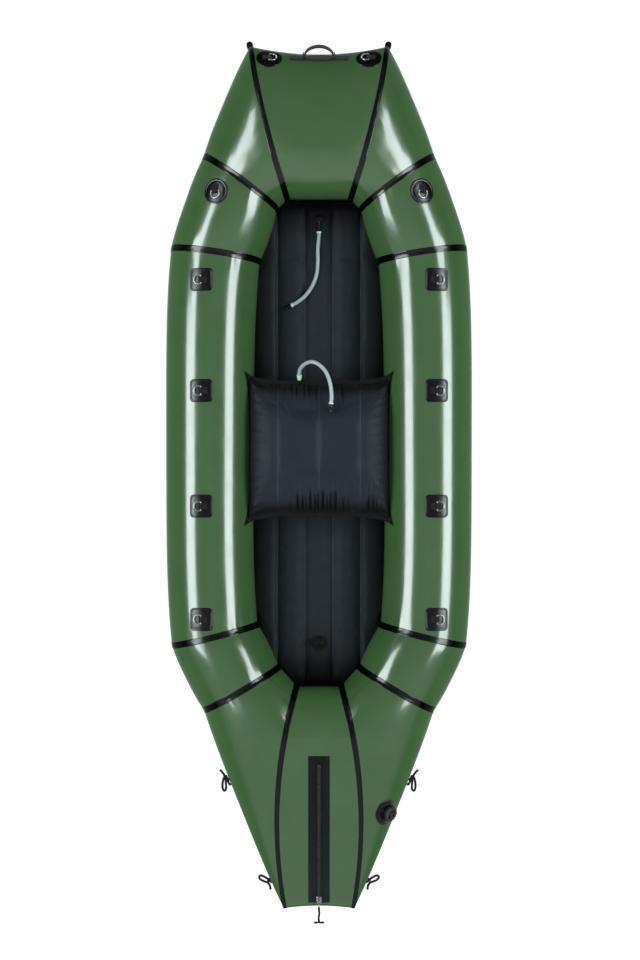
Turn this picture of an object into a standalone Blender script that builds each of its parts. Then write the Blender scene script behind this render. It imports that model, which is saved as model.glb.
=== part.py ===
"""Two-person inflatable packraft: hull ring of welded panels, floor, seat, valves, rings, zip and ties.

Metres, +Z up. The bow points to +Y and the starboard side is +X. The hull's lowest plane is z = 0.
"""

import math

import bmesh
import bpy
import numpy as np
from mathutils import Matrix, Vector
from mathutils.bvhtree import BVHTree

# Hull sizes
HALF_BEAM = 0.508
TUBE = 0.290
BOW_REACH = 1.424
STERN_REACH = 1.438
BOW_RISE = 0.095
STERN_RISE = 0.045
BOW_KEEL_RISE = 0.065
STERN_KEEL_RISE = 0.030
STERN_TIP_DEPTH = 0.080
STERN_NOSE_LIFT = 0.028
STERN_SEAM_CURVE = 0.043
BOW_SEAM_CURVE = 0.014
SIDE_SET_OUT = 0.018
SWELL = 0.008
SWELL_SHARE = 0.03
SKIN = 0.0012
SEAM_TAPE_WIDTH = 0.022
SEAM_TAPE = 0.0010
SHEET = 0.0010

# Gaps and cuts
CLEAR = 0.0003
PATCH_CLEAR = 0.0007
TAPE_CLEAR = 0.0008
SEAM_GAP = 0.0008
RUNNING_CLEAR = 0.0005
OVERRUN = 0.004

# Inflatable floor sizes
FLOOR_CHAMBER = 0.094
FLOOR_CHAMBERS = 5
FLOOR_CROWN = 0.056
FLOOR_SEAM = 0.036
FLOOR_RIM = 0.012
FLOOR_TUCK = 0.014
FLOOR_ROLL = 0.040

# Seat sizes
SEAT_MIDDLE_Y = 0.088
SEAT_HALF_WIDTH = 0.2335
SEAT_EAR = 0.014
SEAT_HALF_LENGTH = 0.226
SEAT_EAR_LENGTH = 0.034
SEAT_THICKNESS = 0.156
SEAT_FLANGE = 0.014
SEAT_FLANGE_THICK = 0.003
SEAT_CHAMBERS = 4

# Ring patch sizes
SQUARE_PATCH = 0.076
SQUARE_CORNER = 0.013
ROUND_PATCH = 0.084
PATCH = 0.0015
RING_WIRE = 0.0045
RING_WIDTH = 0.034
RING_LENGTH = 0.028
WEBBING = 0.0016
KEEPER_WIDTH = 0.021
KEEPER_TAB = 0.017
KEEPER_FOOT = 0.004

# Carry handle sizes
HANDLE_PATCH_LENGTH = 0.196
HANDLE_PATCH_WIDTH = 0.030
HANDLE_SPAN = 0.096
HANDLE_HEIGHT = 0.030
HANDLE_STRAP_WIDTH = 0.024
HANDLE_STRAP = 0.004

# Valve sizes
VALVE_FLANGE = 0.090
VALVE_COLLAR = 0.056
VALVE_BORE = 0.040
VALVE_COLLAR_HEIGHT = 0.007
VALVE_DEPTH = 0.016
VALVE_CAP = 0.054
VALVE_CAP_HEIGHT = 0.011
VALVE_CAP_RIBS = 16
VALVE_FLAP = 0.034
VALVE_FLAP_THICK = 0.002
FLOOR_VALVE_FLANGE = 0.058
FLOOR_VALVE_FLANGE_THICK = 0.006
FLOOR_VALVE_CAP = 0.038
FLOOR_VALVE_CAP_HEIGHT = 0.006

# Filling tube sizes
HOSE = 0.013
NOZZLE = 0.011
NOZZLE_LENGTH = 0.044
NOZZLE_BOSS = 0.018
NOZZLE_FLANGE = 0.030
NOZZLE_FLANGE_THICK = 0.002
MOUTHPIECE = 0.012
MOUTHPIECE_LENGTH = 0.026
MOUTHPIECE_COLLAR = 0.016

# Zip sizes
ZIP_TAPE_WIDTH = 0.070
ZIP_TAPE_LENGTH = 0.500
ZIP_TAPE_THICK = 0.0014
ZIP_CHAIN_WIDTH = 0.011
ZIP_CHAIN_HEIGHT = 0.004
ZIP_END_MARGIN = 0.010
SLIDER_LENGTH = 0.024
SLIDER_WIDTH = 0.018
SLIDER_WALL = 0.002
LINK_LENGTH = 0.026
LINK_WIDTH = 0.009
LINK_WIRE = 0.0024
PULL_CORD = 0.004
PULL_CORD_LENGTH = 0.052
TOGGLE_LENGTH = 0.036
TOGGLE = 0.008

# Tie cord size
TIE_CORD = 0.004

# Number of points round a hull section: outer quarters, then inner quarters
OUTER_POINTS = 6
INNER_POINTS = 5
FINE = 6
SECTION_STEPS = 240

HALF_GAP = HALF_BEAM - TUBE
KEEL = SHEET + 2 * CLEAR + TAPE_CLEAR + SEAM_TAPE

# Each rib: inner x, inner y, outer x, outer y (shares of HALF_GAP, reach, HALF_BEAM, reach), crest place
# along the chord, crown rise and keel rise (shares of the rises at the tip)
BOW_MIDDLE_SHARES = (0, 0.643, 0, 0.979, 0.33, 1.0, 1.0)
BOW_SEAM_SHARES = (0.490, 0.643, 0.451, 1.0, 0.33, 0.80, 0.95)
FORE_SEAM_SHARES = (0.642, 0.6236, 0.761, 0.747, 0.47, 0.28, 0.35)
SIDE_FORE_SHARES = (0.905, 0.502, 0.977, 0.533, 0.50, 0, 0)
SIDE_AFT_SHARES = (0.940, 0.348, 0.972, 0.397, 0.50, 0, 0)
AFT_SEAM_SHARES = (0.617, 0.4465, 0.760, 0.547, 0.48, 0.24, 0.35)
STERN_SEAM_SHARES = (0.349, 0.491, 0.2303, 1.0, 0.22, 0.78, 1.0)
STERN_MIDDLE_SHARES = (0, 0.491, 0, 0.993, 0.22, 1.0, 1.0)
BOW_FULLNESS = 2.2
ROUND_FULLNESS = 2.0
STERN_FULLNESS = 20.0
PANEL_ROWS = 4
BOW_ROWS = 8

# Places of the ring points: shares of the hull's reach and half beam
SIDE_RING_Y_SHARES = (0.452, 0.195, -0.0715, -0.331)
SIDE_RING_X_SHARE = 0.764
SHOULDER_RING_X_SHARE = 0.668
SHOULDER_RING_Y_SHARE = 0.655
BOW_RING_X_SHARE = 0.322
BOW_RING_Y_SHARE = 0.962

# Rows of a patch: shares of its corner, of a disc's radius, and of the width there
CORNER_SHARES = (0, 0.3, 0.65, 1)
DISC_SHARES = (-1, -0.92, -0.7, -0.4, 0, 0.4, 0.7, 0.92, 1)
EDGE_SHARES = (-1, 1)
WIDTH_SHARES = (-1, -0.65, -0.3, 0, 0.3, 0.65, 1)

# Angles round a ring's bend, and where its straight arm starts to turn (a share of the bend)
RING_ARC_DEGREES = (75, 50, 25, 0, -25, -50, -75)
RING_TURN_SHARE = 0.1
SADDLE_ARC_DEGREES = (0, 30, 60, 90, 120, 150, 180)

# Places along each floor chamber, across it and in from its ends
CHAMBER_SHARES = (0, 0.1, 0.5, 0.9)
END_ROLL_SHARES = (0, 0.12, 0.45, 1)
FLOOR_MIDDLE_SHARES = (0.1, 0.2, 0.35, 0.55, 0.75, 0.88)

# Seat: thickness at its inner seams, points across a chamber and along it, and its fitting
SEAT_SEAM_SHARE = 0.74
SEAT_COLUMN_SHARES = (0, 0.07, 0.3, 0.5, 0.7, 0.93)
SEAT_ROW_SHARES = (-1, -0.935, -0.90, -0.80, -0.6, -0.3, 0, 0.3, 0.6, 0.80, 0.90, 0.935, 1)
SEAT_FITTING_X_SHARE = 0.280
SEAT_FITTING_TILT = math.radians(40)

# Places of the floor's fittings and of the main valve, shares of the hull's reach and half beam
FLOOR_VALVE_Y_SHARE = 0.395
FLOOR_FITTING_Y_SHARE = 0.611
MAIN_VALVE_X_SHARE = 0.445
MAIN_VALVE_Y_SHARE = 0.776
ROUND_SIDES = 24

# Handle: its place, the rows of its patch, the bevel of its corners and the outline of its arch
HANDLE_Y_SHARE = 0.962
HANDLE_COLUMN_SHARES = (-1, -0.97, -0.75, -0.5, -0.25, 0, 0.25, 0.5, 0.75, 0.97, 1)
HANDLE_CORNER_SHARE = 0.03
ARCH_SHARES = ((0, 0), (0, 0.45), (0.08, 0.75), (0.22, 0.93), (0.5, 1))

# Zip: rows along and across its tape, and the toggle's thickness at its ends and its waist
ZIP_COLUMN_SHARES = (-1, -0.89, -0.7, -0.5, -0.3, -0.1, 0.1, 0.3, 0.5, 0.68, 0.83, 0.94, 1)
ZIP_ROW_SHARES = (-1, -0.6, -0.3, 0, 0.3, 0.6, 1)
PULL_CORD_SHARES = (0, 0.5, 1)
TOGGLE_END_SHARE = 0.7
TOGGLE_WAIST_SHARE = 0.8

# Route points of the two filling tubes in plan, in metres from their exits; the seat's also have a height
FLOOR_TUBE_ROUTE = (
    (-0.004, -0.059), (-0.004, -0.102), (-0.008, -0.143), (-0.020, -0.178),
    (-0.040, -0.209), (-0.066, -0.233), (-0.095, -0.250),
)
SEAT_TUBE_ROUTE = (
    (0, 0, 0), (0, 0.0092, 0.0077), (0.003, 0.022, 0.020), (0.014, 0.035, 0.038), (0.030, 0.043, 0.055),
    (0.047, 0.043, 0.068), (0.066, 0.034, 0.076), (0.084, 0.016, 0.078), (0.098, -0.012, 0.076),
    (0.105, -0.044, 0.074), (0.107, -0.072, 0.074), (0.105, -0.096, 0.074),
)
HOSE_POINTS = 26
HOSE_LIFT = HOSE / 2 + MOUTHPIECE_COLLAR / 4

# Route points of the tie loops: out from the hull, towards the bow, up
UPPER_TIE_ROUTE = (
    (0, 0, 0), (0.005, 0, 0), (0.011, 0.011, -0.001), (0.017, 0.027, -0.004), (0.024, 0.022, -0.007),
    (0.029, 0.003, -0.012), (0.029, -0.015, -0.016), (0.024, -0.024, -0.018), (0.018, -0.018, -0.017),
    (0.018, 0, -0.014), (0.020, 0.018, -0.012), (0.026, 0.033, -0.013), (0.038, 0.046, -0.018),
)
LOWER_TIE_ROUTE = (
    (0, 0, 0), (0.005, 0, 0), (0.014, 0.008, -0.003), (0.028, 0.016, -0.008), (0.040, 0.020, -0.012),
    (0.046, 0.014, -0.014), (0.041, 0.006, -0.013), (0.028, 0, -0.012), (0.016, -0.005, -0.011),
    (0.010, -0.014, -0.012), (0.008, -0.027, -0.016),
)
UPPER_TIE_Y_SHARE = 0.718
LOWER_TIE_Y_SHARE = 0.945
TIE_HEIGHT_SHARE = 0.66
TIE_POINTS = 30

# Colours (linear), roughness and metallic of each material
HULL_GREEN = ((0.078, 0.130, 0.065), 0.28, 0.0)
TAPE_BLACK = ((0.012, 0.012, 0.013), 0.30, 0.0)
FLOOR_GREY = ((0.020, 0.023, 0.026), 0.55, 0.0)
SEAT_GREY = ((0.025, 0.029, 0.037), 0.50, 0.0)
HARD_BLACK = ((0.014, 0.014, 0.015), 0.40, 0.0)
HOSE_CLEAR = ((0.42, 0.48, 0.52), 0.25, 0.0)
STEEL = ((0.60, 0.60, 0.60), 0.25, 1.0)
CORD_BLACK = ((0.010, 0.010, 0.011), 0.70, 0.0)


def material(name, finish):
    """One Principled material, made once and shared by name."""
    found = bpy.data.materials.get(name)
    if found:
        return found
    colour, roughness, metallic = finish
    made = bpy.data.materials.new(name)
    made.use_nodes = True
    shader = made.node_tree.nodes["Principled BSDF"]
    shader.inputs["Base Color"].default_value = (*colour, 1.0)
    shader.inputs["Roughness"].default_value = roughness
    shader.inputs["Metallic"].default_value = metallic
    return made


def add_object(name, data, finish, parent=None, smooth_angle=40):
    """Links a mesh or curve as one named sub-part; a parent empty carries it on its joint's axis."""
    made = bpy.data.objects.new(name, data)
    bpy.context.scene.collection.objects.link(made)
    data.materials.append(material(*finish))
    if parent:
        made.parent = parent
    if isinstance(data, bpy.types.Mesh):
        data.shade_smooth()
        data.set_sharp_from_angle(angle=math.radians(smooth_angle))
    return made


def add_pivot(name, frame):
    """An empty whose matrix is the place of a moving or tilted piece."""
    pivot = bpy.data.objects.new(name, None)
    bpy.context.scene.collection.objects.link(pivot)
    pivot.matrix_world = frame
    return pivot


def mesh_from(name, points, faces):
    """A closed mesh with outward faces from its points and faces."""
    data = bpy.data.meshes.new(name)
    work = bmesh.new()
    corners = [work.verts.new(point) for point in points]
    for face in faces:
        work.faces.new([corners[i] for i in face])
    bmesh.ops.recalc_face_normals(work, faces=work.faces)
    work.to_mesh(data)
    work.free()
    return data


def loop_mesh(name, rows, closed, lining=None):
    """Bridges equal closed rows of points; the last row meets the first, or both ends are filled.

    From row number lining on the rows run back under the others. Their quads fold along the same
    diagonals as the quads above them, so that a twisted wall keeps its thickness.
    """
    count = len(rows[0])
    last = len(rows) if closed else len(rows) - 1
    faces = []
    for i in range(last):
        a = i * count
        b = (i + 1) % len(rows) * count
        for j in range(count):
            k = (j + 1) % count
            quad = (a + j, a + k, b + k, b + j)
            faces.append(quad[1:] + quad[:1] if lining and i >= lining else quad)
    if not closed:
        faces.append(tuple(range(count)))
        faces.append(tuple(range(last * count, (last + 1) * count)))
    return mesh_from(name, [point for row in rows for point in row], faces)


def plate_mesh(name, top, bottom):
    """A closed plate from two equal grids of points, top and bottom."""
    rows = len(top)
    columns = len(top[0])
    points = [p for row in top for p in row] + [p for row in bottom for p in row]
    under = rows * columns
    faces = []
    for i in range(rows - 1):
        for j in range(columns - 1):
            a = i * columns + j
            quad = (a, a + 1, a + columns + 1, a + columns)
            faces.append(quad)
            faces.append(tuple(under + k for k in reversed(quad)))
    rim = [(0, j) for j in range(columns)] + [(i, columns - 1) for i in range(1, rows)]
    rim += [(rows - 1, j) for j in range(columns - 2, -1, -1)] + [(i, 0) for i in range(rows - 2, 0, -1)]
    edge = [i * columns + j for i, j in rim]
    for a, b in zip(edge, edge[1:] + edge[:1]):
        faces.append((a, b, under + b, under + a))
    return mesh_from(name, points, faces)


def combine(target, tool, operation):
    """Applies a Boolean of tool on target, then removes the tool."""
    step = target.modifiers.new("combine", "BOOLEAN")
    step.operation = operation
    step.solver = "MANIFOLD"
    step.object = tool
    bpy.context.view_layer.update()
    graph = bpy.context.evaluated_depsgraph_get()
    joined = bpy.data.meshes.new_from_object(target.evaluated_get(graph))
    target.modifiers.clear()
    target.data = joined
    bpy.data.objects.remove(tool)


def tube_curve(name, points, diameter, resolution, closed=False):
    """A round tube along points, with filled caps where it is open."""
    curve = bpy.data.curves.new(name, "CURVE")
    curve.dimensions = "3D"
    curve.bevel_depth = diameter / 2
    curve.bevel_resolution = resolution
    curve.use_fill_caps = not closed
    spline = curve.splines.new("POLY")
    spline.points.add(len(points) - 1)
    for slot, point in zip(spline.points, points):
        slot.co = (*point, 1.0)
    spline.use_cyclic_u = closed
    return curve


def smooth_route(route, count):
    """Reads count even points from a smooth curve through the route's own points."""
    way = np.array(route, float)
    ahead = np.vstack([2 * way[0] - way[1], way, 2 * way[-1] - way[-2]])
    dense = []
    for i in range(1, len(ahead) - 2):
        p0, p1, p2, p3 = ahead[i - 1 : i + 3]
        for t in np.linspace(0, 1, SECTION_STEPS // 10, endpoint=False):
            dense.append(
                (2 * p1 + (p2 - p0) * t + (2 * p0 - 5 * p1 + 4 * p2 - p3) * t**2
                 + (3 * p1 - p0 - 3 * p2 + p3) * t**3) / 2
            )
    dense.append(way[-1])
    dense = np.array(dense)
    run = np.concatenate([[0], np.cumsum(np.linalg.norm(np.diff(dense, axis=0), axis=1))])
    even = np.linspace(0, run[-1], count)
    return np.column_stack([np.interp(even, run, dense[:, axis]) for axis in range(3)])


def resampled(points, count, ease):
    """count steps along a curve, evenly or, with ease, closer together towards its end."""
    run = np.concatenate([[0], np.cumsum(np.linalg.norm(np.diff(points, axis=0), axis=1))])
    step = np.linspace(0, 1, count + 1)
    if ease:
        step = np.sin(step * math.pi / 2)
    return np.column_stack([np.interp(step * run[-1], run, points[:, axis]) for axis in range(2)])


class Rib:
    """One cross-section of the hull ring, in the upright plane through its inner and outer points."""

    def __init__(self, shares, side, reach, rises, fullness, nose_lift=0, tip_depth=0, curve=0):
        inner_x, inner_y, outer_x, outer_y, crest, crown, keel = shares
        self.inner = np.array([side * inner_x * HALF_GAP, inner_y * reach])
        self.outer = np.array([side * outer_x * HALF_BEAM, outer_y * reach])
        self.crest = crest
        self.crown = KEEL + TUBE + crown * rises[0]
        self.keel = KEEL + keel * rises[1]
        self.nose = (self.crown + self.keel) / 2 + nose_lift
        self.tip_depth = tip_depth
        self.fullness = fullness
        self.bend = side * curve

    def quarter(self, upper, outer, count):
        """Chord share and height from the crest (or keel) to the outer (or inner) end."""
        top = self.crown if upper else self.keel
        middle = self.nose if outer else (self.crown + self.keel) / 2
        power = self.fullness if outer else ROUND_FULLNESS
        angle = np.linspace(0, math.pi / 2, SECTION_STEPS)
        reach = np.sin(angle) ** (2 / power)
        share = self.crest + ((1 if outer else 0) - self.crest) * reach
        tip = middle + math.copysign(self.tip_depth / 2, top - middle) if outer and self.tip_depth else top
        line = top + (tip - top) * reach
        height = middle + (line - middle) * np.cos(angle) ** (2 / power)
        return resampled(np.column_stack([share, height]), count, ease=outer)

    def points(self, density=1):
        """Closed section in space, from the outer tip over the crown and back under the keel."""
        outer = OUTER_POINTS * density
        inner = INNER_POINTS * density
        way = np.vstack([
            self.quarter(True, True, outer)[::-1][:-1],
            self.quarter(True, False, inner)[:-1],
            self.quarter(False, False, inner)[::-1][:-1],
            self.quarter(False, True, outer)[:-1],
        ])
        share = way[:, 0]
        plan = self.inner + share[:, None] * (self.outer - self.inner)
        chord = self.outer - self.inner
        aside = np.array([abs(chord[1]), 0]) / np.linalg.norm(chord)
        plan = plan + (self.bend * 4 * share * (1 - share))[:, None] * aside
        return np.column_stack([plan, way[:, 1]])


def hull_ribs(side):
    bow = (BOW_RISE, BOW_KEEL_RISE)
    stern = (STERN_RISE, STERN_KEEL_RISE)
    return [
        Rib(BOW_SEAM_SHARES, side, BOW_REACH, bow, BOW_FULLNESS, curve=BOW_SEAM_CURVE),
        Rib(FORE_SEAM_SHARES, side, BOW_REACH, bow, ROUND_FULLNESS),
        Rib(SIDE_FORE_SHARES, side, BOW_REACH, bow, ROUND_FULLNESS),
        Rib(SIDE_AFT_SHARES, side, -STERN_REACH, stern, ROUND_FULLNESS),
        Rib(AFT_SEAM_SHARES, side, -STERN_REACH, stern, ROUND_FULLNESS),
        Rib(STERN_SEAM_SHARES, side, -STERN_REACH, stern, STERN_FULLNESS,
            STERN_NOSE_LIFT, STERN_TIP_DEPTH, STERN_SEAM_CURVE),
    ]


BOW_MIDDLE = Rib(BOW_MIDDLE_SHARES, 0, BOW_REACH, (BOW_RISE, BOW_KEEL_RISE), BOW_FULLNESS)
STERN_MIDDLE = Rib(STERN_MIDDLE_SHARES, 0, -STERN_REACH, (STERN_RISE, STERN_KEEL_RISE), STERN_FULLNESS,
                   STERN_NOSE_LIFT, STERN_TIP_DEPTH)
RIBS = hull_ribs(1) + hull_ribs(-1)[::-1]
PANEL_NAMES = (
    "bow_quarter_right", "fore_side_right", "side_tube_right", "aft_side_right", "stern_quarter_right",
    "stern_panel", "stern_quarter_left", "aft_side_left", "side_tube_left", "fore_side_left",
    "bow_quarter_left", "bow_panel",
)
MIDDLES = {"stern_panel": STERN_MIDDLE, "bow_panel": BOW_MIDDLE}
SET_OUTS = {"side_tube_right": SIDE_SET_OUT, "side_tube_left": -SIDE_SET_OUT}


class Panel:
    """The smooth skin between two neighbouring ribs; u runs 0 to 1 from one to the other."""

    def __init__(self, number, density=1):
        name = PANEL_NAMES[number]
        self.start = RIBS[number].points(density)
        self.end = RIBS[(number + 1) % len(RIBS)].points(density)
        self.length = np.linalg.norm(self.end - self.start, axis=1)
        self.swell = np.minimum(SWELL, SWELL_SHARE * self.length)[:, None]
        self.lift = np.zeros_like(self.start)
        if name in MIDDLES:
            self.lift = MIDDLES[name].points(density) - (self.start + self.end) / 2
            self.swell = np.zeros((len(self.start), 1))
        self.set_out = np.array([SET_OUTS.get(name, 0), 0, 0])
        if name in SET_OUTS:
            self.swell = np.zeros((len(self.start), 1))

    def plain(self, u):
        across = 4 * u * (1 - u)
        set_out = 1 - (2 * u - 1) ** 4
        return self.start + (self.end - self.start) * u + self.lift * across + self.set_out * set_out

    def facing(self, shape, u):
        """Outward directions of a shape, plain or swollen, at u."""
        small = 1 / SECTION_STEPS
        along = shape(u + small) - shape(u - small)
        here = shape(u)
        around = np.roll(here, -1, axis=0) - np.roll(here, 1, axis=0)
        out = np.cross(around, along)
        return out / np.linalg.norm(out, axis=1)[:, None]

    def swollen(self, u):
        """The plain skin pushed out between its seams, and not under the keel."""
        out = self.facing(self.plain, u)
        return self.plain(u) + out * self.swell * np.minimum(1, 1 + out[:, 2:]) * (1 - np.abs(2 * u - 1) ** 3)

    def column(self, u):
        return np.broadcast_to(np.asarray(u, float).reshape(-1, 1), (len(self.start), 1))

    def skin(self, u, offset):
        """Points at share u (one number, or one for each point round), offset outwards."""
        u = self.column(u)
        return self.swollen(u) + self.facing(self.swollen, u) * offset


def seam_row(first, second, offset):
    """The line where two panels meet, held offset from both of them."""
    before = first.facing(first.swollen, first.column(1))
    after = second.facing(second.swollen, second.column(0))
    middle = before + after
    middle /= np.linalg.norm(middle, axis=1)[:, None]
    reach = offset / np.sum(middle * before, axis=1)[:, None]
    return first.swollen(first.column(1)) + middle * reach


def add_panel(number, panels):
    """One hull panel: an open-ended fabric shell, with the tape over its far seam welded on."""
    panel = panels[number]
    after = panels[(number + 1) % len(panels)]
    gap = SEAM_GAP / panel.length
    inner_gap = (SEAM_GAP + SKIN) / panel.length
    tape = SEAM_TAPE_WIDTH / 2 / panel.length
    tape_after = SEAM_TAPE_WIDTH / 2 / after.length
    over = TAPE_CLEAR + SEAM_TAPE
    steps = BOW_ROWS if number == len(panels) - 1 else PANEL_ROWS
    places = [tape + (1 - 2 * tape) * step / steps for step in range(1, steps)]
    rows = [panel.skin(gap, 0), panel.skin(tape, 0)]
    rows += [panel.skin(place, 0) for place in places]
    rows += [
        panel.skin(1 - tape, 0),
        panel.skin(1 - tape, over),
        seam_row(panel, after, over),
        after.skin(tape_after, over),
        after.skin(tape_after, TAPE_CLEAR),
        seam_row(panel, after, TAPE_CLEAR),
        panel.skin(1 - gap, 0),
    ]
    lining = len(rows)
    rows += [panel.skin(place, -SKIN) for place in [1 - inner_gap] + places[::-1] + [inner_gap]]
    data = loop_mesh(PANEL_NAMES[number], rows, closed=True, lining=lining)
    return add_object(PANEL_NAMES[number], data, ("hull_fabric", HULL_GREEN))


def smooth_hull():
    """A fine copy of the whole outer skin, only to seat fittings on."""
    points = []
    faces = []
    for number in range(len(PANEL_NAMES)):
        panel = Panel(number, density=FINE)
        for u in np.linspace(0, 1, 4 * FINE):
            points.extend(panel.skin(u, 0))
    count = len(Panel(0, density=FINE).start)
    rows = len(points) // count
    for i in range(rows):
        a = i * count
        b = (i + 1) % rows * count
        for j in range(count):
            k = (j + 1) % count
            faces.append((a + j, a + k, b + k, b + j))
    return BVHTree.FromPolygons([tuple(p) for p in points], faces)


def seat_on(skin, x, y, heading):
    """Frame on a skin's upper side at plan place (x, y): Z along the normal, X nearest to heading."""
    high = Vector((x, y, 2 * TUBE + BOW_RISE))
    place, _, _, _ = skin.ray_cast(high, Vector((0, 0, -1)))
    spread = RING_LENGTH / 2
    total = Vector()
    for dx, dy in ((spread, spread), (-spread, spread), (spread, -spread), (-spread, -spread)):
        _, near, _, _ = skin.ray_cast(high + Vector((dx, dy, 0)), Vector((0, 0, -1)))
        if near:
            total += near if near.z > 0 else -near
    up = total.normalized()
    ahead = Vector(heading)
    ahead = (ahead - up * ahead.dot(up)).normalized()
    side = up.cross(ahead)
    frame = Matrix((ahead, side, up)).transposed().to_4x4()
    frame.translation = place
    return frame


def draped(hull, frame, a, b, lift):
    """The local point over (a, b) of the frame that lies lift above the smooth skin."""
    up = frame.col[2].to_3d()
    start = frame @ Vector((a, b, TUBE / 2))
    hit, facing, _, _ = hull.ray_cast(start, -up)
    if facing.dot(up) < 0:
        facing = -facing
    return frame.inverted() @ (hit + facing * lift)


def patch_grid(hull, frame, columns, half_width, rows, lift):
    """Rows of local points: columns run across at each a, and half_width(a) bounds them along b."""
    grid = []
    for a in columns:
        reach = half_width(a)
        grid.append([draped(hull, frame, a, reach * share, lift) for share in rows])
    return grid


def rounded_square(side, corner):
    """Half-width of a square with round corners at each place across it."""
    def half_width(a):
        past = abs(a) - (side / 2 - corner)
        if past <= 0:
            return side / 2
        return side / 2 - corner + math.sqrt(max(corner**2 - past**2, 0))
    return half_width


def add_patch(name, hull, frame, outline, columns, rows, thickness, finish):
    """A welded patch that follows the hull, as a child of its seat."""
    top = patch_grid(hull, frame, columns, outline, rows, PATCH_CLEAR + thickness)
    bottom = patch_grid(hull, frame, columns, outline, rows, PATCH_CLEAR)
    pivot = add_pivot(f"{name}_seat", frame)
    return add_object(name, plate_mesh(name, top, bottom), finish, parent=pivot)


def saddle_outline(bar, wall, tab, foot, sink):
    """Side view of a strap or bridge over a bar: tab behind, foot in front, open below to its base."""
    inner = bar / 2 + RUNNING_CLEAR
    outer = inner + wall
    arc = [math.radians(angle) for angle in SADDLE_ARC_DEGREES]
    over = [(outer * math.cos(angle), inner + outer * math.sin(angle)) for angle in arc]
    under = [(inner * math.cos(angle), inner + inner * math.sin(angle)) for angle in reversed(arc)]
    front = [(outer + foot, -sink), (outer + foot, wall), (outer, wall)]
    back = [(-outer, wall), (-outer - tab, wall), (-outer - tab, -sink), (-inner, -sink)]
    return front + over + back + under + [(inner, -sink)]


def add_saddle(base, outline, width, lift, finish):
    """Welds a saddle of this outline and width onto its base, lift above the base's frame."""
    rows = [[(a, side, lift + z) for a, z in outline] for side in (-width / 2, width / 2)]
    tool = add_object(f"{base.name}_saddle", loop_mesh("saddle", rows, closed=False), finish,
                      parent=base.parent)
    combine(base, tool, "UNION")


def add_keeper(patch):
    """Folds a webbing keeper over the ring's bar; returns the bar's height over the patch's frame."""
    lift = PATCH_CLEAR + PATCH
    outline = saddle_outline(RING_WIRE, WEBBING, KEEPER_TAB, KEEPER_FOOT, PATCH / 2)
    add_saddle(patch, outline, KEEPER_WIDTH, lift, ("patch_black", TAPE_BLACK))
    return lift + RING_WIRE / 2 + RUNNING_CLEAR


def add_ring(name, frame, bar_height):
    """A steel D-ring whose straight bar lies in the keeper, on its hinge axis."""
    wire = RING_WIRE
    half = (RING_WIDTH - wire) / 2
    reach = RING_LENGTH - wire
    points = [(0, -half), (0, -half / 3), (0, half / 3), (0, half)]
    arc = [math.radians(angle) for angle in RING_ARC_DEGREES]
    straight = max(reach - half, 0)
    points.append((straight + half * RING_TURN_SHARE, half))
    points += [(straight + half * math.cos(angle), half * math.sin(angle)) for angle in arc]
    points.append((straight + half * RING_TURN_SHARE, -half))
    curve = tube_curve(name, [(a, b, 0) for a, b in points], wire, 1, closed=True)
    hinge = frame @ Matrix.Translation((0, 0, bar_height))
    return add_object(name, curve, ("ring_steel", STEEL), parent=add_pivot(f"{name}_hinge", hinge))


def add_ring_point(name, hull, x, y, heading, outline, columns, rows):
    """A patch with its keeper, and the D-ring that swings in it."""
    frame = seat_on(hull, x, y, heading)
    patch = add_patch(f"{name}_patch", hull, frame, outline, columns, rows, PATCH,
                      ("patch_black", TAPE_BLACK))
    bar_height = add_keeper(patch)
    add_ring(f"{name}_ring", frame, bar_height)


def strip_columns(half, corner):
    """Places across a patch: its edges, the rounding of its corners and its middle."""
    rounding = [half - corner + corner * share for share in CORNER_SHARES]
    flat = [0, (half - corner) / 2]
    across = sorted(set(flat + rounding))
    return [-a for a in reversed(across[1:])] + across


def add_ring_points(hull):
    square = rounded_square(SQUARE_PATCH, SQUARE_CORNER)
    disc = rounded_square(ROUND_PATCH, ROUND_PATCH / 2)
    square_columns = strip_columns(SQUARE_PATCH / 2, SQUARE_CORNER)
    disc_columns = [share * ROUND_PATCH / 2 * (1 - CLEAR / ROUND_PATCH) for share in DISC_SHARES]
    for side, word in ((-1, "left"), (1, "right")):
        for i, share in enumerate(SIDE_RING_Y_SHARES):
            reach = BOW_REACH if share > 0 else STERN_REACH
            add_ring_point(f"side_{word}_{i + 1}", hull, side * SIDE_RING_X_SHARE * HALF_BEAM, share * reach,
                           (side, 0, 0), square, square_columns, EDGE_SHARES)
        add_ring_point(f"shoulder_{word}", hull, side * SHOULDER_RING_X_SHARE * HALF_BEAM,
                       SHOULDER_RING_Y_SHARE * BOW_REACH, (0, -1, 0), disc, disc_columns, WIDTH_SHARES)
        add_ring_point(f"bow_{word}", hull, side * BOW_RING_X_SHARE * HALF_BEAM,
                       BOW_RING_Y_SHARE * BOW_REACH, (-side, 0, 0), disc, disc_columns, WIDTH_SHARES)


def keel_line():
    """Keel points of the starboard ribs from stern to bow: y, half-width and height over the tubes' keel."""
    line = []
    for rib in hull_ribs(1)[::-1]:
        place = rib.inner + rib.crest * (rib.outer - rib.inner)
        line.append((place[1], place[0], rib.keel - KEEL))
    return np.array(line)


def sheet_top(y):
    line = keel_line()
    return SHEET + float(np.interp(y, line[:, 0], line[:, 2]))


def add_floor_sheet():
    """The bottom skin, from keel line to keel line, rising with the bow and the stern."""
    top = []
    bottom = []
    for y, half, rise in keel_line():
        top.append([(half * side, y, SHEET + rise) for side in (-1, 0, 1)])
        bottom.append([(half * side, y, rise) for side in (-1, 0, 1)])
    return add_object("floor_sheet", plate_mesh("floor_sheet", top, bottom), ("floor_fabric", FLOOR_GREY))


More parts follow.
